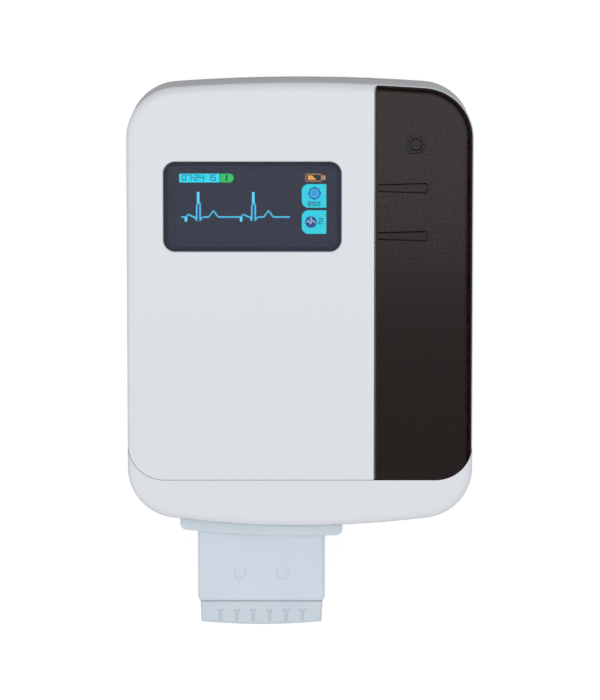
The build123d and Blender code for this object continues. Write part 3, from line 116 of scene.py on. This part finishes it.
def noise(tree, size_mm, detail):
    """Noise in object space, with marks of a real size in millimetres."""
    place = add(tree, "ShaderNodeTexCoord").outputs["Object"]
    inputs = {"Vector": place, "Scale": 1 / (size_mm * MM), "Detail": detail}
    return add(tree, "ShaderNodeTexNoise", inputs).outputs["Fac"]


print("a mid grey, #808080, is", round(linear("#808080")[0], 3), "in linear light")

# %% [markdown]
# ## One recipe for moulded surfaces
# Nearly every piece here is moulded, cast or rolled. Such a surface has a colour that drifts a little, a
# roughness that drifts with handling, and a fine relief that the tool left. Noise in object space makes all
# three: the CAD objects sit at the origin in real metres, so a scale worked out from millimetres is true to size
# on every piece, with no unwrapping.

# %% A moulded surface
NOISE_MIDDLE = (0.3, 0.7)  # noise seldom leaves this range, so it is stretched to the full one
ROUGHNESS_DRIFT = 0.04


def moulded(name, colour, drift, roughness, grain_mm, relief_mm, ior, metallic=0.0, smudge_mm=9.0, **sockets):
    """A material with a drifting colour, a drifting roughness and a fine relief. drift is the second colour."""
    material, tree = blank(bpy.data.materials, name)
    patches = ramp(tree, noise(tree, smudge_mm, 3.0), NOISE_MIDDLE, (0.0, 1.0))
    sheen = ramp(tree, patches, (0.0, 1.0), (roughness - ROUGHNESS_DRIFT, roughness + ROUGHNESS_DRIFT))
    relief = {"Height": noise(tree, grain_mm, 2.0), "Distance": relief_mm * MM, "Strength": 1.0}
    inputs = {
        "Base Color": blend(tree, patches, linear(colour), linear(drift)),
        "Roughness": sheen,
        "Normal": add(tree, "ShaderNodeBump", relief).outputs["Normal"],
        "IOR": ior,
        "Metallic": metallic,
    }
    shader = add(tree, "ShaderNodeBsdfPrincipled", {**inputs, **sockets})
    add(tree, "ShaderNodeOutputMaterial", {"Surface": shader.outputs["BSDF"]})
    return material


finishes = {}
print("every moulded finish drifts by", ROUGHNESS_DRIFT, "in roughness")

# %% [markdown]
# ## The case
# The case is white ABS, injection moulded in a polished tool. ABS shrinks a little as it cools, which leaves the
# faint waviness called orange peel, so its relief is broad and very low.
#
# The dark strip is moulded in ABS from a spark-eroded tool, whose pits, a third of a millimetre across, blur and
# mottle what the strip mirrors. The plastic itself is nearly black. Most of the brown-grey that the eye sees is
# the ceiling's mirror image, and at its rounded edges, which mirror a dark horizon, the strip turns black. So the
# base is kept dark and the gloss does the rest. The keys come from the same tool and are a little rougher.

# %% White ABS, dark ABS and the keys
# the case: a clean, cool white with a soft gloss
finishes["white_shell"] = moulded(
    "abs_white_polished", "#dde1e6", "#dce0e5", 0.13, 1.6, 0.0004, 1.53, smudge_mm=26
)
# the strip: brown-black, with a mottled and slightly blurred mirror image
finishes["dark_strip"] = moulded(
    "abs_dark_spark_eroded", "#261715", "#010000", 0.095, 0.33, 0.0009, 1.53, smudge_mm=0.5,
    **{"Specular IOR Level": 0.47},
)
# the keys: a shade less bright than the strip, so that they stand out a little
finishes["dark_keys"] = moulded(
    "abs_dark_fine", "#241614", "#010000", 0.105, 0.25, 0.0009, 1.53, smudge_mm=0.5,
    **{"Specular IOR Level": 0.455},
)
print("case finishes:", sorted(finishes))

# %% [markdown]
# ## The lead plug
# The plug's shells are polycarbonate with a satin finish, a shade bluer and greyer than the case because they come
# from another supplier. The flange and the boot are soft thermoplastic elastomer, which is rougher still.

# %% Polycarbonate shells, elastomer flange and boot
# the shells: pale blue-grey with a satin sheen
finishes["plug_shell"] = moulded("polycarbonate_satin", "#cfd9e3", "#cbd6e0", 0.42, 0.4, 0.006, 1.58)
# the flange and the boot: soft and dull, each a little darker than the shells
finishes["plug_flange"] = moulded("elastomer_flange", "#ced8e0", "#c9d4dc", 0.5, 0.5, 0.008, 1.5)
finishes["plug_boot"] = moulded("elastomer_boot", "#c9d3dc", "#c5cfd9", 0.55, 0.5, 0.01, 1.5)
print("plug finishes:", [name for name in finishes if name.startswith("plug")])

# %% [markdown]
# ## The display
# The window is smoked polycarbonate, flat and polished, so the picture behind it stays sharp while the rest of the
# panel drowns in its own darkness. Two things make it look blue-grey. Its hard coat mirrors the white room with a
# bluish tint, as thin coats do, and a trace of haze, one part in twenty, catches the light. The shader has the
# same three parts: a clear body with a tint, a tinted mirror that follows from its IOR, and the haze. The panel
# behind is black glass.

# %% Smoked polycarbonate and black glass
HAZE = 0.05
COAT_TINT = "#c2ceff"


def clear_plastic(name, tint, roughness, ior):
    """A transparent, tinted plastic under a hard coat. roughness is the middle of its drift."""
    material, tree = blank(bpy.data.materials, name)
    inputs = {
        "Base Color": linear(tint),
        "Roughness": ramp(tree, noise(tree, 6.0, 2.0), (0.0, 1.0), (0.0, 2 * roughness)),
        "IOR": ior,
        "Transmission Weight": 1 - HAZE,
        "Specular Tint": linear(COAT_TINT),
    }
    shader = add(tree, "ShaderNodeBsdfPrincipled", inputs)
    add(tree, "ShaderNodeOutputMaterial", {"Surface": shader.outputs["BSDF"]})
    return material


# the window: clear to the picture, blue-grey elsewhere
finishes["smoked_window"] = clear_plastic("polycarbonate_smoked", "#9a9ca2", 0.005, 1.5)
# the panel: black and smooth, so that unlit dots vanish
finishes["panel_glass"] = moulded("glass_black", "#07080b", "#050609", 0.12, 4.0, 0.0001, 1.52)
print("finishes so far:", len(finishes))

# %% [markdown]
# ## What the case hides
# The rest shows only from the rear, through the battery bay's end, or when someone takes the case apart. It is
# still made of real things: glass-epoxy boards under green solder mask, epoxy-moulded chips, gold-plated and
# nickel-plated contacts, silicone rubber seals, a steel cell in a printed sleeve.

# %% Rubber, film, metals and electronics
# slot: (material, colour, second colour, roughness, grain in mm, relief in mm, IOR), and what the eye gets from it
plain = {
    "black_foam": ("foam_black", "#1b1b1c", "#141414", 0.9, 0.3, 0.04, 1.45),  # dull, open, no highlight
    "grey_rubber": ("silicone_rubber_grey", "#7d8084", "#75787c", 0.6, 0.5, 0.01, 1.41),  # soft grey
    "plate_film": ("polyester_film_matt", "#c3c7cc", "#bcc0c6", 0.38, 0.2, 0.004, 1.64),  # silvery, silk-matt
    "cell_sleeve": ("pvc_sleeve_green", "#2f5c4a", "#2b5645", 0.25, 1.2, 0.003, 1.53),  # dark green, shrunk tight
    "board_green": ("glass_epoxy_green", "#14603a", "#105534", 0.3, 0.6, 0.006, 1.55),  # green under clear gloss
    "chip_black": ("epoxy_moulded_black", "#1d1d1f", "#171719", 0.6, 0.15, 0.01, 1.55),  # fine, even matt black
    "connector_black": ("nylon_black", "#222224", "#1c1c1e", 0.5, 0.3, 0.008, 1.53),  # black, a little greasy
    "capacitor_tan": ("ceramic_tan", "#a68a6c", "#9c8063", 0.45, 0.2, 0.006, 1.6),  # dry tan
    "flex_amber": ("polyimide_amber", "#c48a2c", "#b87f26", 0.22, 1.0, 0.003, 1.7),  # shiny amber
    "plunger_white": ("acetal_white", "#e4e4e0", "#dededa", 0.35, 0.5, 0.004, 1.48),  # waxy white
}
for slot, (name, colour, drift, roughness, grain, relief, ior) in plain.items():
    finishes[slot] = moulded(name, colour, drift, roughness, grain, relief, ior)

# slot: the same without an IOR, because a metal's colour is that of its mirror image
metals = {
    "screw_steel": ("steel_zinc_plated", "#b9babc", "#aeb0b3", 0.3, 0.4, 0.004),  # cool grey, satin
    "insert_brass": ("brass_turned", "#d8b160", "#cda454", 0.3, 0.3, 0.004),  # warm yellow
    "cell_steel": ("steel_nickel_plated", "#c5c5c4", "#bbbbba", 0.28, 0.8, 0.003),  # bright, neutral
    "contact_nickel": ("nickel_plated_spring", "#cbc9c2", "#c0beb7", 0.25, 0.5, 0.003),  # bright, a little warm
    "contact_gold": ("gold_plated_copper", "#e6c069", "#dcb45c", 0.22, 0.4, 0.002),  # deep yellow
    "can_tinned": ("steel_tinned", "#c7c9cb", "#bcbec1", 0.32, 0.9, 0.004),  # pale, with broad soft shine
}
for slot, (name, colour, drift, roughness, grain, relief) in metals.items():
    finishes[slot] = moulded(name, colour, drift, roughness, grain, relief, 1.5, metallic=1.0)
print(len(finishes), "finishes")

# %% [markdown]
# ## Dress every node
# The record says which finish each node takes, so the same names drive both. A node keeps its mesh and its place,
# and only its material slot is filled. CAD faces meet at real fillets, so the meshes are already smooth where the
# moulding is, and sharp where it is cut.

# %% Give each CAD node its finish
for part in frame["record"]["subparts"]:
    node = frame["nodes"][part["node"]]
    node.data.materials.clear()
    node.data.materials.append(finishes[part["material_slot"]])

# %% [markdown]
# ## The lit pixels
# An organic LED display draws with its own light: each lit dot is a tiny square, and an unlit one is as black as
# the glass round it. A picture texture would do, but real squares keep their edges at any distance, so the picture
# is drawn dot by dot on a grid, and each lit dot becomes a thin tile on the panel's face. Colours are kept in
# separate meshes, one for each kind of dot.

# %% The dot grid on the panel
panel_low, panel_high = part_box("oled_panel")
pitch = 0.1765 * MM  # from one dot to the next
tile = 0.17 * MM  # a dot's own side, which leaves a hairline between dots
tile_height = 0.012 * MM
columns = int((panel_high.x - panel_low.x) / pitch)
rows = int((panel_high.y - panel_low.y) / pitch)
dots = {}  # (column, row): ink, counted from the top left
print("display grid:", columns, "by", rows, "dots")


def dot(column, row, ink):
    """Lights one dot, or puts it out where ink is None."""
    if ink is None:
        dots.pop((column, row), None)
    else:
        dots[column, row] = ink


def block(left, top, width, height, ink):
    """Lights a rectangle of dots."""
    for column in range(left, left + width):
        for row in range(top, top + height):
            dot(column, row, ink)


def disc(column, row, radius, ink):
    """Lights a round patch."""
    reach = int(radius) + 1
    for across in range(-reach, reach + 1):
        for down in range(-reach, reach + 1):
            if across**2 + down**2 <= radius**2:
                dot(column + across, row + down, ink)


def trace(points, ink, edge):
    """Lights the dots along straight runs between points, with dots of the edge ink at their right and below."""
    for (x0, y0), (x1, y1) in zip(points, points[1:]):
        steps = max(abs(x1 - x0), abs(y1 - y0), 1)
        for step in range(steps + 1):
            across = round(x0 + (x1 - x0) * step / steps)
            down = round(y0 + (y1 - y0) * step / steps)
            for beside in ((across + 1, down), (across, down + 1)):
                if dots.get(beside) != ink:
                    dot(*beside, edge)
            dot(across, down, ink)


# %% [markdown]
# ### Numerals
# The labels carry plain numbers. A numeral is built from the seven strokes of a calculator's display, named a to g
# as they are on such displays. Its size comes from its width and from half its height.

# %% Seven-stroke numerals
NUMERALS = {
    "0": "abcdef", "1": "bc", "2": "abged", "3": "abgcd", "4": "fgbc",
    "5": "afgcd", "6": "afgedc", "7": "abc", "8": "abcdefg", "9": "abfgcd",
}


def numerals(text, left, top, ink, width=5, half=3, space=1):
    """Writes numerals and colons rightwards from left."""
    strokes = {
        "a": (0, 0, width, 1), "b": (width - 1, 0, 1, half + 1), "c": (width - 1, half, 1, half + 1),
        "d": (0, 2 * half, width, 1), "e": (0, half, 1, half + 1), "f": (0, 0, 1, half + 1),
        "g": (0, half, width, 1),
    }
    for sign in text:
        if sign == ":":
            dot(left, top + half - 1, ink)
            dot(left, top + half + 1, ink)
            left += 1 + space
            continue
        for stroke in NUMERALS[sign]:
            x, y, across, down = strokes[stroke]
            block(left + x, top + y, across, down, ink)
        left += width + space


print("numerals:", "".join(NUMERALS))

# %% [markdown]
# ### Draw the picture
# The picture is what such a recorder shows while it runs: the running time on a blue label with the number of the
# trace beside it, two heartbeats, a battery, and two tabs that belong to the two keys at the display's right. All
# places are columns and rows of the grid.

# %% Time, trace number and battery
block(15, 11, 46, 10, "cyan")
numerals("07:24:15", 18, 12, "deep")
for row in range(10):  # a label whose right end is a half circle, 5.1 dots in radius
    block(62, 11 + row, 10 + round((26 - (row - 4.5) ** 2) ** 0.5), 1, "green")
for left in (64, 65):  # twice, one dot apart, for a thicker stroke
    numerals("1", left, 12, "leaf")
block(159, 11, 19, 9, "pale")  # the battery's shell, hollowed out and with its corners taken off
block(160, 12, 17, 7, None)
for corner in ((159, 11), (177, 11), (159, 19), (177, 19)):
    dot(*corner, None)
block(178, 13, 4, 5, "pale")  # its cap
for row in range(13, 18):  # its charge, with a slanting edge
    block(162, row, row - 8, 1, "amber")
print("dots lit so far:", len(dots))

# %% Two heartbeats on their base line
base = 60
for start, stop in ((17, 80), (80, 140)):
    # the line, the mark below it and the first low wave
    trace([(start, base), (start + 4, base)], "blue", "dim")
    block(start + 4, base, 3, 6, "blue")
    trace([(start + 6, base - 2), (start + 8, base - 3), (start + 11, base - 1), (start + 15, base)], "blue", "dim")
    # the tall spike: a dip, two legs with a dark gap between them, a thick tip, and a second dip
    trace([(start + 15, base), (start + 17, base + 4)], "blue", "dim")
    block(start + 18, base - 12, 3, 14, "gap")
    trace([(start + 17, base + 3), (start + 17, base - 13), (start + 19, base - 16)], "blue", "dim")
    block(start + 18, base - 28, 3, 13, "blue")
    trace([(start + 20, base - 17), (start + 21, base - 13), (start + 21, base + 2)], "blue", "dim")
    trace([(start + 21, base + 4), (start + 23, base + 1), (start + 26, base)], "blue", "dim")
    # the last wave, and the line up to the next beat
    trace([(start + 25, base), (start + 31, base), (start + 36, base - 7), (start + 42, base)], "blue", "dim")
    trace([(start + 42, base), (stop, base)], "blue", "dim")
print("dots lit so far:", len(dots))

# %% The two tabs beside the keys
TAB_WIDTH, TAB_HEIGHT = 28, 27
for top in (23, 53):
    block(155, top, TAB_WIDTH, TAB_HEIGHT, "tab")
    for step, cut in enumerate((5, 3, 2, 1, 1)):  # the left corners are rounded, row by row
        for edge in (top + step, top + TAB_HEIGHT - 1 - step):
            block(155, edge, cut, 1, None)
for radius, ink in ((7.2, "ring"), (5.0, "halo"), (3.7, "sky")):  # a round badge over a number
    disc(169, 33, radius, ink)
numerals("250", 162, 43, "deep", width=4, half=2)
disc(165, 66, 6.6, "navy")  # a badge with a small trace, and a number
trace([(160, 66), (162, 64), (164, 68), (167, 64), (170, 67)], "white", "navy")
block(165, 61, 1, 4, "white")
numerals("2", 174, 62, "deep")
print("dots lit:", len(dots))

# %% [markdown]
# ### Turn dots into tiles
# Each lit dot is a closed tile a hundredth of a millimetre thick, standing on the glass. Its material is a light:
# an LED's colour, at a strength that makes up for what the smoked window keeps back. Seen through the window, a
# dot is then about as bright as the page of a book beside it and doesn't bleach. The meshes ride on the recorder's
# body, so they go where it goes.

# %% Light-emitting materials and the tiles
INKS = {
    "cyan": "#00e6f8", "tab": "#00d8e4", "blue": "#50e0ff", "dim": "#2784b4", "deep": "#004a78",
    "green": "#00c84a", "leaf": "#003c1c", "pale": "#bb8850", "amber": "#f2ab2c", "ring": "#0058ae",
    "halo": "#3cc4ee", "sky": "#0f9cd8", "navy": "#00307e", "gap": "#0c3480", "white": "#c8f0ff",
}
WINDOW_LOSS = 3.3  # the window lets about three tenths of a dot's light through
DIMMEST = 0.92  # a dot's least light, as a share of its full light


def led(name, colour):
    """A lit dot: it shines in its own colour, a little unevenly from dot to dot, under the panel's gloss."""
    material, tree = blank(bpy.data.materials, name)
    full = linear(colour)
    inputs = {
        "Base Color": linear("#101318"),
        "Roughness": 0.2,
        "IOR": 1.52,
        "Emission Color": blend(tree, noise(tree, 1.1, 1.0), full, [DIMMEST * c for c in full[:3]] + [1.0]),
        "Emission Strength": WINDOW_LOSS,
    }
    shader = add(tree, "ShaderNodeBsdfPrincipled", inputs)
    add(tree, "ShaderNodeOutputMaterial", {"Surface": shader.outputs["BSDF"]})
    return material


def put(name, data):
    """A new object with this mesh, lamp or camera, linked into the scene."""
    thing = bpy.data.objects.new(name, data)
    bpy.context.scene.collection.objects.link(thing)
    return thing


def mesh_data(name, mesh, material):
    """Ends a bmesh: its faces become a mesh of this name and material."""
    data = bpy.data.meshes.new(name)
    mesh.to_mesh(data)
    mesh.free()
    data.materials.append(material)
    return data


grid_left = (panel_low.x + panel_high.x - columns * pitch) / 2
grid_top = (panel_low.y + panel_high.y + rows * pitch) / 2
for ink, colour in INKS.items():
    mesh = bmesh.new()
    for (column, row), kind in sorted(dots.items()):
        if kind != ink:
            continue
        left = grid_left + column * pitch
        top = grid_top - row * pitch
        corners = [(left, top - tile), (left + tile, top - tile), (left + tile, top), (left, top)]
        lower = [mesh.verts.new((x, y, panel_high.z)) for x, y in corners]
        upper = [mesh.verts.new((x, y, panel_high.z + tile_height)) for x, y in corners]
        mesh.faces.new(upper)
        mesh.faces.new(lower[::-1])
        for at in range(4):
            after = (at + 1) % 4
            mesh.faces.new((lower[at], lower[after], upper[after], upper[at]))
    piece = put("display_dots_" + ink, mesh_data("dots_" + ink, mesh, led("led_" + ink, colour)))
    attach(piece, "recorder")
    print(piece.name, "tiles:", len(piece.data.polygons) // 6)

# %% [markdown]
# ### The printed border
# Behind the window, real devices have a border of black ink, which hides the ledge that the window is glued to.
# It is printed on the window's lower face, so it is modelled as a flat ring a few hundredths of a millimetre thick
# just under that face.

# %% A ring of ink under the window
lens_low, lens_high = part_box("display_window")
lens_corner = 2.33 * MM
outer_inset, inner_inset = 0.92 * MM, 1.7 * MM
sharpest_corner = 0.2 * MM
ink_top = lens_low.z - 0.004 * MM
ink_bottom = ink_top - 0.03 * MM


def rounded(inset, z, steps=8):
    """The window's outline drawn in by inset, at height z, anticlockwise from the right."""
    points = []
    radius = max(lens_corner - inset, sharpest_corner)
    low, high = lens_low, lens_high
    corners = ((high.x, high.y), (low.x, high.y), (low.x, low.y), (high.x, low.y))
    for quarter, (side_x, side_y) in enumerate(corners):
        centre_x = side_x + (inset + radius) * (-1 if side_x == high.x else 1)
        centre_y = side_y + (inset + radius) * (-1 if side_y == high.y else 1)
        for step in range(steps + 1):
            turn = radians(90 * (quarter + step / steps))
            points.append(Vector((centre_x + radius * cos(turn), centre_y + radius * sin(turn), z)))
    return points


mesh = bmesh.new()
section = (
    (outer_inset, ink_bottom), (outer_inset, ink_top), (inner_inset, ink_top), (inner_inset, ink_bottom),
)
loops = [[mesh.verts.new(point) for point in rounded(inset, z)] for inset, z in section]
count = len(loops[0])
for ring, nearer in zip(loops, loops[1:] + loops[:1]):
    for at in range(count):
        after = (at + 1) % count
        mesh.faces.new((ring[at], ring[after], nearer[after], nearer[at]))
bmesh.ops.recalc_face_normals(mesh, faces=mesh.faces)
# the ink: flat black without a highlight, so that the ledge behind it vanishes
printed_ink = moulded("ink_black_printed", "#07080b", "#050609", 0.5, 0.2, 0.002, 1.5)
window_ink = put("window_ink", mesh_data("window_ink", mesh, printed_ink))
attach(window_ink, "recorder")
print("ink ring faces:", len(window_ink.data.polygons))

# %% [markdown]
# ## The floor and the studio
# The product lies on a white table under a broad soft light, as for a catalogue. The table's paint is pale. What
# the camera sees of it, directly or through the window, is lifted to paper white, so that it doesn't throw extra
# light on the object, and the shadow under the object stays. Mirrors see it lifted only a little, because the
# glossy edges of a dark piece turn grey when they mirror a bright table.


# %% A pale table
def maths(tree, operation, first, second):
    """One sum with two values."""
    return add(tree, "ShaderNodeMath", {0: first, 1: second}, operation=operation).outputs[0]


def by_ray(tree, light, mirror, camera):
    """Gives one shader to the rays that light the object, one to mirrors, and one to the camera and to glass."""
    path = add(tree, "ShaderNodeLightPath").outputs
    seen = maths(tree, "MAXIMUM", path["Is Camera Ray"], path["Is Transmission Ray"])
    unseen = add(tree, "ShaderNodeMixShader", {"Fac": path["Is Glossy Ray"], 1: light, 2: mirror})
    return add(tree, "ShaderNodeMixShader", {"Fac": seen, 1: unseen.outputs[0], 2: camera}).outputs[0]


def lifted(tree, base, strength):
    """A painted surface with this much white light added."""
    lift = add(tree, "ShaderNodeEmission", {"Color": linear("#ffffff"), "Strength": strength})
    return add(tree, "ShaderNodeAddShader", {0: base.outputs[0], 1: lift.outputs[0]}).outputs[0]


table_paint, tree = blank(bpy.data.materials, "table_white_laminate")
plain_surface = add(tree, "ShaderNodeBsdfDiffuse", {"Color": linear("#b8b8b8")})
shadow_keeper = add(tree, "ShaderNodeBsdfDiffuse", {"Color": linear("#808081")})
surface = by_ray(
    tree, plain_surface.outputs[0], lifted(tree, shadow_keeper, 0.1), lifted(tree, shadow_keeper, 0.86)
)
add(tree, "ShaderNodeOutputMaterial", {"Surface": surface})
reach = 3.0  # half the table's side, in metres
floor_level = cad_low.z - 0.02 * MM  # a hair below the case, so that the two don't flicker
floor_data = bpy.data.meshes.new("table")
floor_data.from_pydata(
    [(x, y, floor_level) for x, y in ((-reach, -reach), (reach, -reach), (reach, reach), (-reach, reach))],
    [],
    [(0, 1, 2, 3)],
)
floor_data.materials.append(table_paint)
floor = put("table", floor_data)
print("table at", round(floor_level / MM, 3), "mm")

# %% [markdown]
# ### Light
# To the camera the room is plain white. The light that falls on the object comes from all round. It is a little
# stronger from the sides than from overhead, and weak from low down beyond the top end. A surface that faces up
# then comes out about as its colour is written, and the end wall that the camera sees turns grey.
#
# Shiny surfaces mirror the room that a photographer builds round a glossy product: a bright ceiling over a dark
# horizon, a white board at the left, and a dark screen opposite the camera, towards the lower end. The board keeps
# the case's left edge light. The screen is why the dark strip is lighter near its top end than near its lower one.
# Two soft lamps at the sides fill in, and no mirror shows them.

# %% Room and soft lamps
world, tree = blank(bpy.data.worlds, "studio")
bpy.context.scene.world = world
generated = add(tree, "ShaderNodeTexCoord").outputs["Generated"]
direction = add(tree, "ShaderNodeSeparateXYZ", {0: generated}).outputs

# the light on the object: full but for the part below a plane that rises towards the top end
rise = maths(tree, "MULTIPLY", direction["Y"], 0.9)
height = maths(tree, "SUBTRACT", direction["Z"], rise)
fullness = ramp(tree, height, (-0.9, -0.3), (0.2, 0.78))
walls = ramp(tree, direction["Z"], (0.0, 1.0), (1.35, 0.95))  # a factor that falls from the horizon to overhead
soft_room = maths(tree, "MULTIPLY", fullness, walls)

# the mirrored room: a ceiling that is nearly dark up to 37 degrees above the horizon and full from 76 degrees
ceiling = ramp(tree, direction["Z"], (0.6, 0.97), (0.05, 1.0))
# the screen takes three quarters of it. slope is how far a ray leans towards the top end as it rises, and the
# middle of the strip mirrors the slope where the screen's soft edge is
lowest_rise = 0.05  # keeps the slope finite at the horizon
slope = maths(tree, "DIVIDE", direction["Y"], maths(tree, "MAXIMUM", direction["Z"], lowest_rise))
screen = ramp(tree, slope, (-0.1155, -0.109), (0.26, 1.0), interpolation_type="SMOOTHSTEP")
left_board = ramp(tree, direction["X"], (-0.9, -0.5), (1.0, 0.0))  # full near the horizon, gone at 60 degrees
mirrored_room = maths(tree, "MAXIMUM", maths(tree, "MULTIPLY", ceiling, screen), left_board)


def white(tree, strength):
    """White light of this strength from the world."""
    return add(tree, "ShaderNodeBackground", {"Color": linear("#ffffff"), "Strength": strength}).outputs[0]


surroundings = by_ray(tree, white(tree, soft_room), white(tree, mirrored_room), white(tree, 1.0))
add(tree, "ShaderNodeOutputWorld", {"Surface": surroundings})


def lamp(name, place, aim, size, power):
    """A soft rectangular lamp at place, in metres, that faces aim."""
    light = bpy.data.lights.new(name, "AREA")
    light.shape = "RECTANGLE"
    light.size, light.size_y = size
    light.energy = power
    holder = put(name, light)
    holder.location = place
    holder.rotation_euler = (Vector(aim) - Vector(place)).to_track_quat("-Z", "Y").to_euler()
    return holder


for side in (-1, 1):
    panel = lamp("side_panel", place=(0.8 * side, 0.0, 0.95), aim=(0, 0, 0), size=(0.9, 1.1), power=2.2)
    panel.visible_glossy = False

# %% [markdown]
# ## The camera
# The picture was taken from straight above, with the camera a little towards the top end, so the top wall just
# shows. The distance and the long lens come from how much the far parts shrink. The image is 600 by 700, and the
# sensor's width goes with the longer side.

# %% Place the camera
image_height = 700
middle_row = 299.14  # the image row where the case's middle shows
sensor = 36.0  # mm, for the longer side
tilt = 6.786  # degrees towards the top end
distance = 0.924  # m
pixels_per_metre = 4893.0  # at the middle
middle = Vector((0.0, 0.000135, 0.011))
drop_pixels = image_height / 2 - middle_row
focal_pixels = pixels_per_metre * distance
camera_data = bpy.data.cameras.new("camera")
camera_data.sensor_width = sensor
camera_data.lens = focal_pixels / image_height * sensor
camera_data.clip_start, camera_data.clip_end = 0.05, 20.0
camera = put("camera", camera_data)
camera.location = middle + distance * Vector((0, sin(radians(tilt)), cos(radians(tilt))))
camera.rotation_euler = (-radians(tilt) - drop_pixels / focal_pixels, 0, 0)
bpy.context.scene.camera = camera
bpy.context.scene.view_settings.view_transform = "Standard"
print("lens:", round(camera_data.lens, 1), "mm at", distance, "m")
